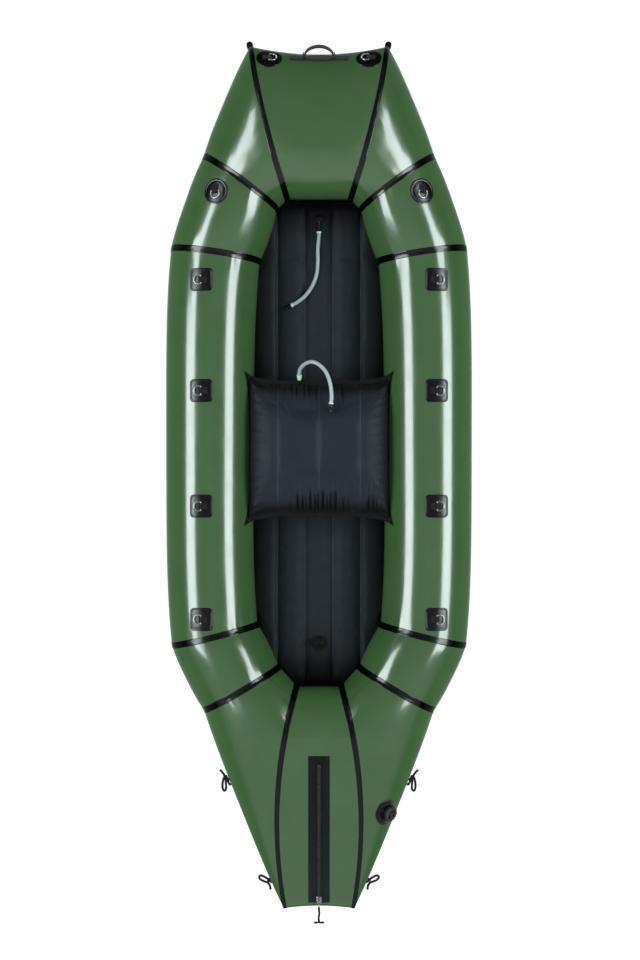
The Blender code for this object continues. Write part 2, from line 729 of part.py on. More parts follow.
def floor_ends(x):
    """Fore and aft ends of the inflatable floor at a place across it, tucked under the tubes."""
    ribs = hull_ribs(1)
    across = [abs(rib.inner[0]) + FLOOR_TUCK for rib in ribs]
    along = [rib.inner[1] + math.copysign(FLOOR_TUCK, rib.inner[1]) for rib in ribs]
    fore = float(np.interp(abs(x), across[:3], along[:3]))
    aft = float(np.interp(abs(x), across[:2:-1], along[:2:-1]))
    widest = FLOOR_CHAMBER * FLOOR_CHAMBERS / 2
    past = max(abs(x) - across[2], 0) / (widest - across[2] + FLOOR_TUCK)
    return fore - past * FLOOR_CHAMBER, aft + past * FLOOR_CHAMBER


def floor_height(x, y):
    """Thickness of the floor: crowned chambers that roll down at the two ends."""
    half = FLOOR_CHAMBER * FLOOR_CHAMBERS / 2
    place = (x + half) / FLOOR_CHAMBER
    across = 2 * (place - math.floor(place)) - 1
    if abs(x) >= half:
        return FLOOR_RIM
    crown = FLOOR_SEAM + (FLOOR_CROWN - FLOOR_SEAM) * math.sqrt(max(1 - across**2, 0))
    fore, aft = floor_ends(x)
    inside = min(fore - y, y - aft) / FLOOR_ROLL
    roll = math.sqrt(max(1 - max(1 - inside, 0) ** 2, 0))
    return FLOOR_RIM + (crown - FLOOR_RIM) * roll


def floor_top(x, y):
    return sheet_top(y) + CLEAR + floor_height(x, y)


def skin_of(made):
    """The finished outside of a mesh object, to seat fittings on."""
    data = made.data
    data.calc_loop_triangles()
    triangles = [tuple(triangle.vertices) for triangle in data.loop_triangles]
    return BVHTree.FromPolygons([tuple(v.co) for v in data.vertices], triangles)


def height_over(skin, x, y):
    """Height of a skin's upper side over plan place (x, y), or zero beside it."""
    place, _, _, _ = skin.ray_cast(Vector((x, y, 2 * TUBE)), Vector((0, 0, -1)))
    return place.z if place else 0


def add_inflatable_floor():
    half = FLOOR_CHAMBER * FLOOR_CHAMBERS / 2
    columns = [FLOOR_CHAMBER * (i + share) - half for i in range(FLOOR_CHAMBERS) for share in CHAMBER_SHARES]
    columns.append(half)
    top = []
    bottom = []
    for x in columns:
        fore, aft = floor_ends(x)
        start = [aft + FLOOR_ROLL * share for share in END_ROLL_SHARES]
        end = [fore - FLOOR_ROLL * share for share in reversed(END_ROLL_SHARES)]
        middle = [start[-1] + (end[0] - start[-1]) * share for share in FLOOR_MIDDLE_SHARES]
        ys = start + middle + end
        top.append([(x, y, floor_top(x, y)) for y in ys])
        bottom.append([(x, y, sheet_top(y) + CLEAR) for y in ys])
    return add_object("inflatable_floor", plate_mesh("inflatable_floor", top, bottom),
                      ("floor_fabric", FLOOR_GREY))


def turned_rows(profile, sides, ribs=0, rib_depth=0):
    """Rings of points for (radius, height) pairs; ribs notch the widest rings."""
    rim = max(radius for radius, _ in profile)
    rows = []
    for radius, height in profile:
        row = []
        for step in range(sides):
            angle = 2 * math.pi * step / sides
            notched = ribs and radius == rim and step % (sides // ribs) == 0
            reach = radius - (rib_depth if notched else 0)
            row.append((reach * math.cos(angle), reach * math.sin(angle), height))
        rows.append(row)
    return rows


def add_turned(name, profile, sides, finish, parent, ribs=0, rib_depth=0):
    """A solid turned about its parent's Z, with both ends filled."""
    rows = turned_rows(profile, sides, ribs, rib_depth)
    return add_object(name, loop_mesh(name, rows, closed=False), finish, parent=parent)


def add_floor_valve(floor, skin):
    """The floor's valve: a flange let into the top skin, and its cap."""
    frame = seat_on(skin, 0, -FLOOR_VALVE_Y_SHARE * STERN_REACH, (0, 1, 0))
    seat = add_pivot("floor_valve_seat", frame)
    finish = ("valve_black", HARD_BLACK)
    sunk = FLOOR_VALVE_FLANGE_THICK - SKIN
    rim = FLOOR_VALVE_FLANGE / 2
    hole = [(rim + CLEAR, -sunk - CLEAR), (rim + CLEAR, OVERRUN)]
    combine(floor, add_turned("floor_valve_cut", hole, ROUND_SIDES, finish, seat), "DIFFERENCE")
    neck = FLOOR_VALVE_CAP / 2
    add_turned("floor_valve_base", [(rim, -sunk), (rim, 0), (neck, SKIN)], ROUND_SIDES, finish, seat)
    turn = add_pivot("floor_valve_hinge", frame @ Matrix.Translation((0, 0, SKIN + CLEAR)))
    height = FLOOR_VALVE_CAP_HEIGHT
    profile = [(neck, 0), (neck, height - SKIN), (neck - 2 * SKIN, height), (neck / 2, height),
               (neck / 2 - SKIN, height - 2 * SKIN)]
    add_turned("floor_valve_cap", profile, ROUND_SIDES, finish, turn, ribs=ROUND_SIDES // 2, rib_depth=SKIN)


def add_floor_fitting(skin):
    """Flange, boss and nozzle where the floor's filling tube starts; gives the exit and the way out."""
    frame = seat_on(skin, 0, FLOOR_FITTING_Y_SHARE * BOW_REACH, (0, -1, 0))
    frame = frame @ Matrix.Translation((0, 0, CLEAR + RUNNING_CLEAR))
    seat = add_pivot("floor_tube_seat", frame)
    finish = ("valve_black", HARD_BLACK)
    rim = NOZZLE_FLANGE / 2
    boss = NOZZLE_BOSS / 2
    axis = NOZZLE_FLANGE_THICK + HOSE / 2
    top = axis + NOZZLE / 2
    profile = [(rim, 0), (rim, NOZZLE_FLANGE_THICK / 2), (boss, NOZZLE_FLANGE_THICK), (boss, top),
               (boss - SKIN, top + SKIN)]
    fitting = add_turned("floor_tube_fitting", profile, ROUND_SIDES, finish, seat)
    turn = Matrix.Translation((0, 0, axis)) @ Matrix.Rotation(math.pi / 2, 4, "Y")
    lying = add_pivot("floor_nozzle_seat", frame @ turn)
    pipe = [(NOZZLE / 2, 0), (NOZZLE / 2, NOZZLE_LENGTH)]
    combine(fitting, add_turned("floor_nozzle", pipe, ROUND_SIDES // 2, finish, lying), "UNION")
    return frame @ Vector((NOZZLE_LENGTH + CLEAR, 0, axis)), frame.col[0].to_3d()


def floor_tube_route(start, ahead):
    """The floor's tube leaves straight, then runs over the crests of the chambers at the same height."""
    lift = start.z - sheet_top(start.y)
    along = [(start.x + x, start.y + y, sheet_top(start.y + y) + lift) for x, y in FLOOR_TUBE_ROUTE]
    return [tuple(start), tuple(start + ahead * HOSE)] + along


def seat_tube_route(start, skin):
    """The seat's tube loops up from its barb and comes down on the cushion."""
    route = []
    for x, y, z in SEAT_TUBE_ROUTE:
        least = height_over(skin, start.x + x, start.y + y) + HOSE_LIFT if y < 0 else 0
        route.append((start.x + x, start.y + y, max(start.z + z, least)))
    return route


def add_filling_tube(name, route):
    """A clear filling tube from its fitting, and the twist mouthpiece on its free end."""
    points = smooth_route(route, HOSE_POINTS)
    add_object(f"{name}_tube", tube_curve(f"{name}_tube", points, HOSE, 2), ("tube_clear", HOSE_CLEAR))
    ahead = Vector(points[-1] - points[-2]).normalized()
    frame = ahead.to_track_quat("Z", "Y").to_matrix().to_4x4()
    frame.translation = Vector(points[-1]) + ahead * CLEAR
    bore = MOUTHPIECE / 2
    collar = MOUTHPIECE_COLLAR / 2
    length = MOUTHPIECE_LENGTH
    profile = [(bore, 0), (collar, SKIN), (collar, length / 3), (bore, length / 2), (bore, length - SKIN),
               (bore - SKIN, length)]
    add_turned(f"{name}_mouthpiece", profile, ROUND_SIDES // 2, ("valve_black", HARD_BLACK),
               add_pivot(f"{name}_mouthpiece_hinge", frame), ribs=ROUND_SIDES // 4, rib_depth=SKIN / 2)


def seat_outline(a, b):
    """Plan place of the seat's edge net: drawn-in sides between longer corners."""
    ear = abs(a * b) ** 6
    x = a * (SEAT_HALF_WIDTH + SEAT_EAR * ear)
    y = b * (SEAT_HALF_LENGTH + SEAT_EAR_LENGTH * abs(a) ** 8)
    return x, y + SEAT_MIDDLE_Y


def seat_weld(hull, x, y):
    """Height of the welded edge: level in the gap, and riding up on the tubes' shoulders."""
    rest = height_over(hull, SEAT_HALF_WIDTH, SEAT_MIDDLE_Y)
    return max(rest, height_over(hull, x, y)) + SEAT_FLANGE_THICK + CLEAR


def seat_crown(a, b):
    """Half thickness of the cushion over the net (a, b): crowned chambers inside a flat flange."""
    across = abs(a) * SEAT_HALF_WIDTH / (SEAT_HALF_WIDTH - SEAT_FLANGE)
    along = abs(b) * SEAT_HALF_LENGTH / (SEAT_HALF_LENGTH - SEAT_FLANGE)
    if across >= 1 or along >= 1:
        return SEAT_FLANGE_THICK / 2
    place = (a + 1) / 2 * SEAT_CHAMBERS
    ridge = 2 * (place - math.floor(place)) - 1
    edge = math.sqrt((1 - across**4) * (1 - along**3))
    channel = SEAT_SEAM_SHARE + (1 - SEAT_SEAM_SHARE) * math.sqrt(max(1 - ridge**2, 0))
    return SEAT_FLANGE_THICK / 2 + (SEAT_THICKNESS - SEAT_FLANGE_THICK) / 2 * edge * channel


def add_seat(hull):
    """The seat: a welded cushion of four chambers, held on the shoulders of the side tubes."""
    places = [i + share for i in range(SEAT_CHAMBERS) for share in SEAT_COLUMN_SHARES]
    columns = [2 * place / SEAT_CHAMBERS - 1 for place in places]
    inner = 1 - SEAT_FLANGE / SEAT_HALF_WIDTH
    columns = [-1, -inner] + [a for a in columns if abs(a) < inner] + [inner, 1]
    top = []
    bottom = []
    for a in columns:
        above = []
        below = []
        for b in SEAT_ROW_SHARES:
            x, y = seat_outline(a, b)
            weld = seat_weld(hull, x, y)
            half = seat_crown(a, b)
            above.append((x, y, weld + half))
            below.append((x, y, weld - half))
        top.append(above)
        bottom.append(below)
    return add_object("seat_cushion", plate_mesh("seat_cushion", top, bottom), ("seat_fabric", SEAT_GREY))


def add_seat_fitting(hull):
    """The barb at the seat's fore edge that holds its filling tube; gives the exit."""
    x = -SEAT_FITTING_X_SHARE * SEAT_HALF_WIDTH
    y = SEAT_MIDDLE_Y + SEAT_HALF_LENGTH
    ahead = Vector((0, math.cos(SEAT_FITTING_TILT), math.sin(SEAT_FITTING_TILT)))
    barb = HOSE / 2
    frame = ahead.to_track_quat("Z", "Y").to_matrix().to_4x4()
    lip = SEAT_FLANGE_THICK / 2 * math.tan(SEAT_FITTING_TILT)
    frame.translation = Vector((x, y + CLEAR + lip, seat_weld(hull, 0, y))) + ahead * barb / 2
    seat = add_pivot("seat_tube_seat", frame)
    profile = [(barb / 2, -barb / 2), (barb, 0), (barb, barb), (barb + SKIN, barb), (barb + SKIN, 2 * barb)]
    add_turned("seat_tube_fitting", profile, ROUND_SIDES // 2, ("valve_black", HARD_BLACK), seat)
    return frame @ Vector((0, 0, 2 * barb + CLEAR))


def add_main_valve(hull, panel):
    """The main valve: flange and collar through the skin, a trapped one-way flap, and a screw cap."""
    frame = seat_on(hull, MAIN_VALVE_X_SHARE * HALF_BEAM, -MAIN_VALVE_Y_SHARE * STERN_REACH, (0, -1, 0))
    columns = [share * VALVE_FLANGE / 2 * (1 - CLEAR / VALVE_FLANGE) for share in DISC_SHARES]
    base = add_patch("main_valve_base", hull, frame, rounded_square(VALVE_FLANGE, VALVE_FLANGE / 2), columns,
                     WIDTH_SHARES, PATCH, ("valve_black", HARD_BLACK))
    seat = base.parent
    collar = VALVE_COLLAR / 2
    finish = ("valve_black", HARD_BLACK)
    through = add_turned("valve_cut", [(collar + RUNNING_CLEAR, -VALVE_DEPTH - OVERRUN),
                                       (collar + RUNNING_CLEAR, OVERRUN)], ROUND_SIDES, finish, seat)
    combine(panel, through, "DIFFERENCE")
    body = add_turned("valve_body", [(collar, -VALVE_DEPTH), (collar, VALVE_COLLAR_HEIGHT)], ROUND_SIDES,
                      finish, seat)
    combine(base, body, "UNION")
    bore = VALVE_BORE / 2
    lip = bore - (VALVE_BORE - VALVE_FLAP) / 2 - VALVE_FLAP_THICK
    wall = VALVE_FLAP_THICK
    inside = [(lip, -VALVE_DEPTH - OVERRUN), (lip, wall - VALVE_DEPTH), (bore, wall - VALVE_DEPTH),
              (bore, -wall), (lip, -wall), (lip, 0), (bore, 0), (bore, VALVE_COLLAR_HEIGHT + OVERRUN)]
    combine(base, add_turned("valve_bore", inside, ROUND_SIDES, finish, seat), "DIFFERENCE")
    flap = VALVE_FLAP / 2
    slide = add_pivot("main_valve_flap_slide", frame @ Matrix.Translation((0, 0, -wall - CLEAR)))
    add_turned("main_valve_flap", [(flap, -VALVE_FLAP_THICK), (flap, 0)], ROUND_SIDES,
               ("valve_rubber", TAPE_BLACK), slide)
    turn = add_pivot("main_valve_cap_hinge", frame @ Matrix.Translation((0, 0, VALVE_COLLAR_HEIGHT + CLEAR)))
    rim = VALVE_CAP / 2
    plug = bore - RUNNING_CLEAR
    height = VALVE_CAP_HEIGHT
    profile = [(plug, CLEAR + SKIN - VALVE_COLLAR_HEIGHT / 2), (plug, 0), (rim, 0), (rim, height - 2 * SKIN),
               (rim - 2 * SKIN, height), (rim / 2, height), (rim / 2 - SKIN, height - 2 * SKIN)]
    add_turned("main_valve_cap", profile, 2 * VALVE_CAP_RIBS, finish, turn,
               ribs=VALVE_CAP_RIBS, rib_depth=2 * SKIN)


def add_handle(hull):
    """The bow carry handle: a welded base with two sewn anchors, and the strap loop that folds on them."""
    frame = seat_on(hull, 0, HANDLE_Y_SHARE * BOW_REACH, (1, 0, 0))
    half = HANDLE_PATCH_LENGTH / 2
    columns = [half * share for share in HANDLE_COLUMN_SHARES]
    width = HANDLE_PATCH_WIDTH / 2
    corner = half * HANDLE_CORNER_SHARE

    def half_width(a):
        return width - (corner if abs(a) == half else 0)

    patch = add_patch("handle_patch", hull, frame, half_width, columns, WIDTH_SHARES, PATCH,
                      ("patch_black", TAPE_BLACK))
    lift = PATCH_CLEAR + PATCH
    half_strap = HANDLE_STRAP_WIDTH / 2
    pivot_height = half_strap + lift + 2 * RUNNING_CLEAR
    for side in (-1, 1):
        start = side * (HANDLE_SPAN / 2 + CLEAR)
        ends = (start, start + side * HANDLE_STRAP)
        rows = []
        for a in ends:
            row = [(a, half_strap * math.cos(angle), pivot_height + half_strap * math.sin(angle))
                   for angle in (math.pi / 8 * step for step in range(9))]
            rows.append(row + [(a, -half_strap, lift - PATCH), (a, half_strap, lift - PATCH)])
        anchor = add_object("anchor", loop_mesh("anchor", rows, closed=False), ("patch_black", TAPE_BLACK),
                            parent=patch.parent)
        combine(patch, anchor, "UNION")
    outer = [(HANDLE_SPAN * (share - 0.5), HANDLE_HEIGHT * rise) for share, rise in ARCH_SHARES]
    outer = outer + [(-a, z) for a, z in reversed(outer[:-1])]
    inner = []
    for i, (a, z) in enumerate(outer):
        before = outer[max(i - 1, 0)]
        after = outer[min(i + 1, len(outer) - 1)]
        run = math.hypot(after[0] - before[0], after[1] - before[1])
        inner.append((a + (after[1] - before[1]) / run * HANDLE_STRAP,
                      max(z - (after[0] - before[0]) / run * HANDLE_STRAP, 0)))
    sides = [(math.cos(angle) * half_strap, -math.sin(angle) * half_strap)
             for angle in (math.pi * step / 6 for step in range(1, 6))]
    rows = []
    for ring in (outer, inner):
        foot_a = ring[0][0]
        foot_b = ring[-1][0]
        row = [(a, -half_strap, z) for a, z in ring]
        row += [(foot_b, -b, z) for b, z in sides]
        row += [(a, half_strap, z) for a, z in reversed(ring)]
        row += [(foot_a, b, z) for b, z in sides]
        rows.append(row)
    hinge = add_pivot("handle_hinge", frame @ Matrix.Translation((0, 0, pivot_height)))
    add_object("handle_loop", strap_mesh(rows, len(outer), len(sides)), ("patch_black", TAPE_BLACK),
               parent=hinge)


def strap_mesh(rows, arch, side):
    """Closed strap from its outer and inner outlines: arch edges at both sides, rounded ends between."""
    count = len(rows[0])
    points = rows[0] + rows[1]
    faces = []
    for i in range(count):
        k = (i + 1) % count
        faces.append((i, k, count + k, count + i))
    for base in (0, count):
        near = list(range(base, base + arch))
        far = list(range(base + arch + side, base + 2 * arch + side))[::-1]
        for i in range(arch - 1):
            faces.append((near[i], near[i + 1], far[i + 1], far[i]))
        faces.append((near[-1], *range(base + arch, base + arch + side), far[-1]))
        faces.append((far[0], *range(base + 2 * arch + side, base + count), near[0]))
    return mesh_from("handle_loop", points, faces)


def zip_frame(hull):
    """Frame of the zip on the stern: X points aft along the straight zip line."""
    end = STERN_MIDDLE.outer[1] + ZIP_END_MARGIN
    start = end + ZIP_TAPE_LENGTH
    down = Vector((0, 0, -1))
    fore, _, _, _ = hull.ray_cast(Vector((0, start, 2 * TUBE)), down)
    aft, _, _, _ = hull.ray_cast(Vector((0, end, 2 * TUBE)), down)
    ahead = (aft - fore).normalized()
    side = Vector((1, 0, 0))
    frame = Matrix((ahead, side, ahead.cross(side))).transposed().to_4x4()
    frame.translation = (fore + aft) / 2
    return frame


def add_zip(hull):
    """The stern zip: tape with its chain, slider, pull link, and cord with toggle."""
    frame = zip_frame(hull)
    half = ZIP_TAPE_LENGTH / 2
    columns = [half * share for share in ZIP_COLUMN_SHARES]

    def tape_half(_):
        return ZIP_TAPE_WIDTH / 2

    def chain_half(_):
        return ZIP_CHAIN_WIDTH / 2

    tape = add_patch("zip_tape", hull, frame, tape_half, columns, ZIP_ROW_SHARES, ZIP_TAPE_THICK,
                     ("zip_tape", TAPE_BLACK))
    run = columns[1:]
    lift = PATCH_CLEAR + ZIP_TAPE_THICK
    sides = (-SLIDER_WIDTH / 2, 0, SLIDER_WIDTH / 2)
    base = lift + max(draped(hull, frame, a, b, 0).z for a in run for b in sides)
    bottom = patch_grid(hull, frame, run, chain_half, (-1, 0, 1), lift - ZIP_TAPE_THICK / 2)
    top = [[Vector((place.x, place.y, base + ZIP_CHAIN_HEIGHT)) for place in row] for row in bottom]
    chain = add_object("chain", plate_mesh("chain", top, bottom), ("zip_tape", TAPE_BLACK),
                       parent=tape.parent)
    combine(tape, chain, "UNION")
    add_slider(frame, half, base)


def add_slider(frame, half, base):
    """The slider rides over the chain's straight top; its link and toggle trail aft."""
    end = half - SLIDER_LENGTH / 2
    floor = base + RUNNING_CLEAR
    roof = base + ZIP_CHAIN_HEIGHT + RUNNING_CLEAR
    slide = add_pivot("zip_slider_slide", frame @ Matrix.Translation((end, 0, 0)))
    inner = ZIP_CHAIN_WIDTH / 2 + RUNNING_CLEAR
    outer = SLIDER_WIDTH / 2
    nose = SLIDER_WALL
    rows = []
    for a, shrink in ((-SLIDER_LENGTH / 2, nose), (-SLIDER_LENGTH / 4, 0), (SLIDER_LENGTH / 2, 0)):
        rows.append([
            (a, outer - shrink, floor), (a, outer - shrink, roof),
            (a, outer - shrink - nose, roof + SLIDER_WALL), (a, shrink + nose - outer, roof + SLIDER_WALL),
            (a, shrink - outer, roof), (a, shrink - outer, floor),
            (a, -inner, floor), (a, -inner, roof), (a, inner, roof), (a, inner, floor),
        ])
    slider = add_object("zip_slider", loop_mesh("zip_slider", rows, closed=False), ("zip_metal", STEEL),
                        parent=slide)
    deck = roof + SLIDER_WALL
    outline = saddle_outline(LINK_WIRE, SLIDER_WALL / 2, LINK_WIRE, LINK_WIRE, SLIDER_WALL / 2)
    add_saddle(slider, outline, LINK_WIDTH - 2 * LINK_WIRE - 2 * RUNNING_CLEAR, deck, ("zip_metal", STEEL))
    bar = LINK_WIRE / 2 + RUNNING_CLEAR
    hinge = add_pivot("zip_link_hinge", frame @ Matrix.Translation((end, 0, deck + bar)))
    width = (LINK_WIDTH - LINK_WIRE) / 2
    reach = LINK_LENGTH - LINK_WIRE
    corner = LINK_WIRE
    loop = [(0, -width), (0, 0), (0, width), (corner, width), (reach - corner, width),
            (reach, width - corner), (reach, corner - width), (reach - corner, -width), (corner, -width)]
    add_object("zip_link", tube_curve("zip_link", [(a, b, 0) for a, b in loop], LINK_WIRE, 1, closed=True),
               ("zip_metal", STEEL), parent=hinge)
    add_toggle(hinge, reach)


def add_toggle(hinge, reach):
    """A short cord from the link to a cross-bar toggle, straight so that both slide clear of the chain."""
    start = reach + LINK_WIRE / 2 + CLEAR
    end = start + PULL_CORD_LENGTH
    bar = TOGGLE / 2
    half = TOGGLE_LENGTH / 2
    sides = ROUND_SIDES // 2
    rows = []
    for b, share in ((-half, TOGGLE_END_SHARE), (-half + bar / 2, 1), (0, TOGGLE_WAIST_SHARE),
                     (half - bar / 2, 1), (half, TOGGLE_END_SHARE)):
        rows.append([
            (end + bar * share * math.cos(angle), b, bar * share * math.sin(angle))
            for angle in (2 * math.pi * step / sides for step in range(sides))
        ])
    toggle = add_object("zip_toggle", loop_mesh("zip_toggle", rows, closed=False), ("cord_black", CORD_BLACK),
                        parent=hinge)
    rings = []
    thick = PULL_CORD / 2
    for share in PULL_CORD_SHARES:
        a = start + PULL_CORD_LENGTH * share
        rings.append([(a, thick * math.cos(angle), thick * math.sin(angle))
                      for angle in (2 * math.pi * step / sides for step in range(sides))])
    cord = add_object("pull_cord", loop_mesh("pull_cord", rings, closed=False), ("cord_black", CORD_BLACK),
                      parent=hinge)
    combine(toggle, cord, "UNION")


def add_ties(shells):
    """Four loops of cord on the outer sides of the stern quarters."""
    for side, word in ((-1, "left"), (1, "right")):
        skin = skin_of(shells[f"stern_quarter_{word}"])
        for place, share, route in (("upper", UPPER_TIE_Y_SHARE, UPPER_TIE_ROUTE),
                                    ("lower", LOWER_TIE_Y_SHARE, LOWER_TIE_ROUTE)):
            outside = Vector((side * 2 * HALF_BEAM, -share * STERN_REACH, TIE_HEIGHT_SHARE * TUBE))
            hit, facing, _, _ = skin.ray_cast(outside, Vector((-side, 0, 0)))
            lean = math.hypot(facing.y, facing.z) / abs(facing.x)
            start = hit + Vector((side * (TIE_CORD / 2 * lean + CLEAR), 0, 0))
            way = [(start.x + side * x, start.y + y, start.z + z) for x, y, z in route]
            points = smooth_route(way, TIE_POINTS)
            name = f"tie_{place}_{word}"
            add_object(name, tube_curve(name, points, TIE_CORD, 1), ("cord_black", CORD_BLACK))


def main():
    for old in list(bpy.data.objects):
        bpy.data.objects.remove(old)
    panels = [Panel(number) for number in range(len(PANEL_NAMES))]
    shells = {PANEL_NAMES[number]: add_panel(number, panels) for number in range(len(PANEL_NAMES))}
    hull = smooth_hull()
    add_ring_points(hull)
    add_floor_sheet()
    floor = add_inflatable_floor()
    mat = skin_of(floor)
    add_floor_valve(floor, mat)
    add_filling_tube("floor", floor_tube_route(*add_floor_fitting(mat)))
    cushion = skin_of(add_seat(hull))
    add_filling_tube("seat", seat_tube_route(add_seat_fitting(hull), cushion))
    add_main_valve(hull, shells["stern_quarter_right"])
    add_handle(hull)
    add_zip(hull)
    add_ties(shells)


main()
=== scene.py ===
"""Looks of the two-person inflatable packraft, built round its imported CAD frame. Metres, +Z up, bow at +Y."""

import math

import bmesh
import bpy
import numpy as np
from mathutils import Matrix, Vector
from mathutils.bvhtree import BVHTree


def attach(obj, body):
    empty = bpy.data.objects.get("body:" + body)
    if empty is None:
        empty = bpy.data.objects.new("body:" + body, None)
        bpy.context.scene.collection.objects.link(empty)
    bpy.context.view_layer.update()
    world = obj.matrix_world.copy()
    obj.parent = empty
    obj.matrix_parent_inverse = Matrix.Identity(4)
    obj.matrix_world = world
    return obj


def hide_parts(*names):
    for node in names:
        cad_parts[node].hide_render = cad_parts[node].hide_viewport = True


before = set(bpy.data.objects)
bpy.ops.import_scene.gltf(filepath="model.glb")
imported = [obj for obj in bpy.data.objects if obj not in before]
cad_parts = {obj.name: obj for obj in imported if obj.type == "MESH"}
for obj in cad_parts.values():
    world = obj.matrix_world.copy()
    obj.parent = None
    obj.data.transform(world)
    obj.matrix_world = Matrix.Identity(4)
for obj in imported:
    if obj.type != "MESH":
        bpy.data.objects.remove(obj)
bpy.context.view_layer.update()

HULL = "hull"

# Hull sizes, as in the part's source
HALF_BEAM = 0.508
TUBE = 0.290
BOW_REACH = 1.424
STERN_REACH = 1.438
BOW_RISE = 0.095
STERN_RISE = 0.045
BOW_KEEL_RISE = 0.065
STERN_KEEL_RISE = 0.030
STERN_TIP_DEPTH = 0.080
STERN_NOSE_LIFT = 0.028
STERN_SEAM_CURVE = 0.043
BOW_SEAM_CURVE = 0.014
SIDE_SET_OUT = 0.018
SWELL = 0.008
SWELL_SHARE = 0.03
SKIN = 0.0012
SHEET = 0.0010
KEEL = 0.0034
HALF_GAP = HALF_BEAM - TUBE
TAPE_WIDTH = 0.022
PATCH_GAP = 0.0007
PATCH = 0.0015
PATCH_TOP = PATCH_GAP + PATCH
FLOOR_CHAMBER = 0.094
SEAT_SEAM = 0.1365

# Small sizes that many pieces share: clearances, how far a seated piece sinks into what carries it, and
# the tiny flat that closes a turned solid at its axis
CLEAR = 0.0003
RUNNING_CLEAR = 0.0005
SINK = 0.0006
CORE = 0.0004

# Shares of each rib: inner x, inner y, outer x, outer y, crest place, crown rise, keel rise
BOW_MIDDLE_SHARES = (0, 0.643, 0, 0.979, 0.33, 1.0, 1.0)
BOW_SEAM_SHARES = (0.490, 0.643, 0.451, 1.0, 0.33, 0.80, 0.95)
FORE_SEAM_SHARES = (0.642, 0.6236, 0.761, 0.747, 0.47, 0.28, 0.35)
SIDE_FORE_SHARES = (0.905, 0.502, 0.977, 0.533, 0.50, 0, 0)
SIDE_AFT_SHARES = (0.940, 0.348, 0.972, 0.397, 0.50, 0, 0)
AFT_SEAM_SHARES = (0.617, 0.4465, 0.760, 0.547, 0.48, 0.24, 0.35)
STERN_SEAM_SHARES = (0.349, 0.491, 0.2303, 1.0, 0.22, 0.78, 1.0)
STERN_MIDDLE_SHARES = (0, 0.491, 0, 0.993, 0.22, 1.0, 1.0)
BOW_FULLNESS = 2.2
ROUND_FULLNESS = 2.0
STERN_FULLNESS = 20.0
OUTER_POINTS = 48
INNER_POINTS = 40
SECTION_STEPS = 720


# ---- small helpers -------------------------------------------------------------------------------

def linear(code):
    """An sRGB hex colour as linear RGBA."""
    parts = [int(code[i : i + 2], 16) / 255 for i in (1, 3, 5)]
    return (*[c / 12.92 if c <= 0.04045 else ((c + 0.055) / 1.055) ** 2.4 for c in parts], 1.0)


def put(tree, kind, settings=None, sockets=None):
    """Adds one node to a tree, with its own settings, and its sockets set to values or linked."""
    made = tree.nodes.new(f"ShaderNode{kind}")
    for name, value in (settings or {}).items():
        setattr(made, name, value)
    for name, value in (sockets or {}).items():
        if isinstance(value, bpy.types.NodeSocket):
            tree.links.new(value, made.inputs[name])
        else:
            made.inputs[name].default_value = value
    return made


def link_object(name, data, finish, body=HULL, smooth_angle=40):
    """Links a mesh or curve as one piece riding on a CAD body; it stands for the CAD node of its name."""
    made = bpy.data.objects.new(name, data)
    bpy.context.scene.collection.objects.link(made)
    data.materials.append(finish)
    if isinstance(data, bpy.types.Mesh):
        data.shade_smooth()
        data.set_sharp_from_angle(angle=math.radians(smooth_angle))
    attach(made, body)
    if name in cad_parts:
        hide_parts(name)
    return made


def mesh_from(name, points, faces, merge=True):
    """A closed mesh with outward faces from its points and faces; doubled points are merged or kept."""
    data = bpy.data.meshes.new(name)
    data.from_pydata([tuple(p) for p in points], [], [tuple(f) for f in faces])
    work = bmesh.new()
    work.from_mesh(data)
    if merge:
        bmesh.ops.remove_doubles(work, verts=work.verts, dist=1e-7)
    bmesh.ops.recalc_face_normals(work, faces=work.faces)
    work.to_mesh(data)
    work.free()
    return data


def loop_faces(rows, count, closed):
    """Quads between equal closed rows of points; the last row meets the first, or both ends are filled."""
    last = rows if closed else rows - 1
    faces = []
    for i in range(last):
        a = i * count
        b = (i + 1) % rows * count
        for j in range(count):
            k = (j + 1) % count
            faces.append((a + j, a + k, b + k, b + j))
    if not closed:
        faces.append(tuple(range(count)))
        faces.append(tuple(range(last * count, (last + 1) * count)))
    return faces


def loop_mesh(name, rows, closed):
    points = [point for row in rows for point in row]
    return mesh_from(name, points, loop_faces(len(rows), len(rows[0]), closed))


def plate_faces(rows, columns):
    """Faces of a closed plate from two equal grids of points, the top one first."""
    under = rows * columns
    faces = []
    for i in range(rows - 1):
        for j in range(columns - 1):
            a = i * columns + j
            quad = (a, a + 1, a + columns + 1, a + columns)
            faces.append(quad)
            faces.append(tuple(under + k for k in reversed(quad)))
    rim = [(0, j) for j in range(columns)] + [(i, columns - 1) for i in range(1, rows)]
    rim += [(rows - 1, j) for j in range(columns - 2, -1, -1)] + [(i, 0) for i in range(rows - 2, 0, -1)]
    edge = [i * columns + j for i, j in rim]
    for a, b in zip(edge, edge[1:] + edge[:1]):
        faces.append((a, b, under + b, under + a))
    return faces


def plate_mesh(name, top, bottom, merge=True):
    points = [p for row in top for p in row] + [p for row in bottom for p in row]
    return mesh_from(name, points, plate_faces(len(top), len(top[0])), merge)


def join_meshes(name, parts):
    """One mesh from several, each with the matrix that places it."""
    work = bmesh.new()
    for data, place in parts:
        data.transform(place)
        work.from_mesh(data)
        bpy.data.meshes.remove(data)
    made = bpy.data.meshes.new(name)
    work.to_mesh(made)
    work.free()
    return made


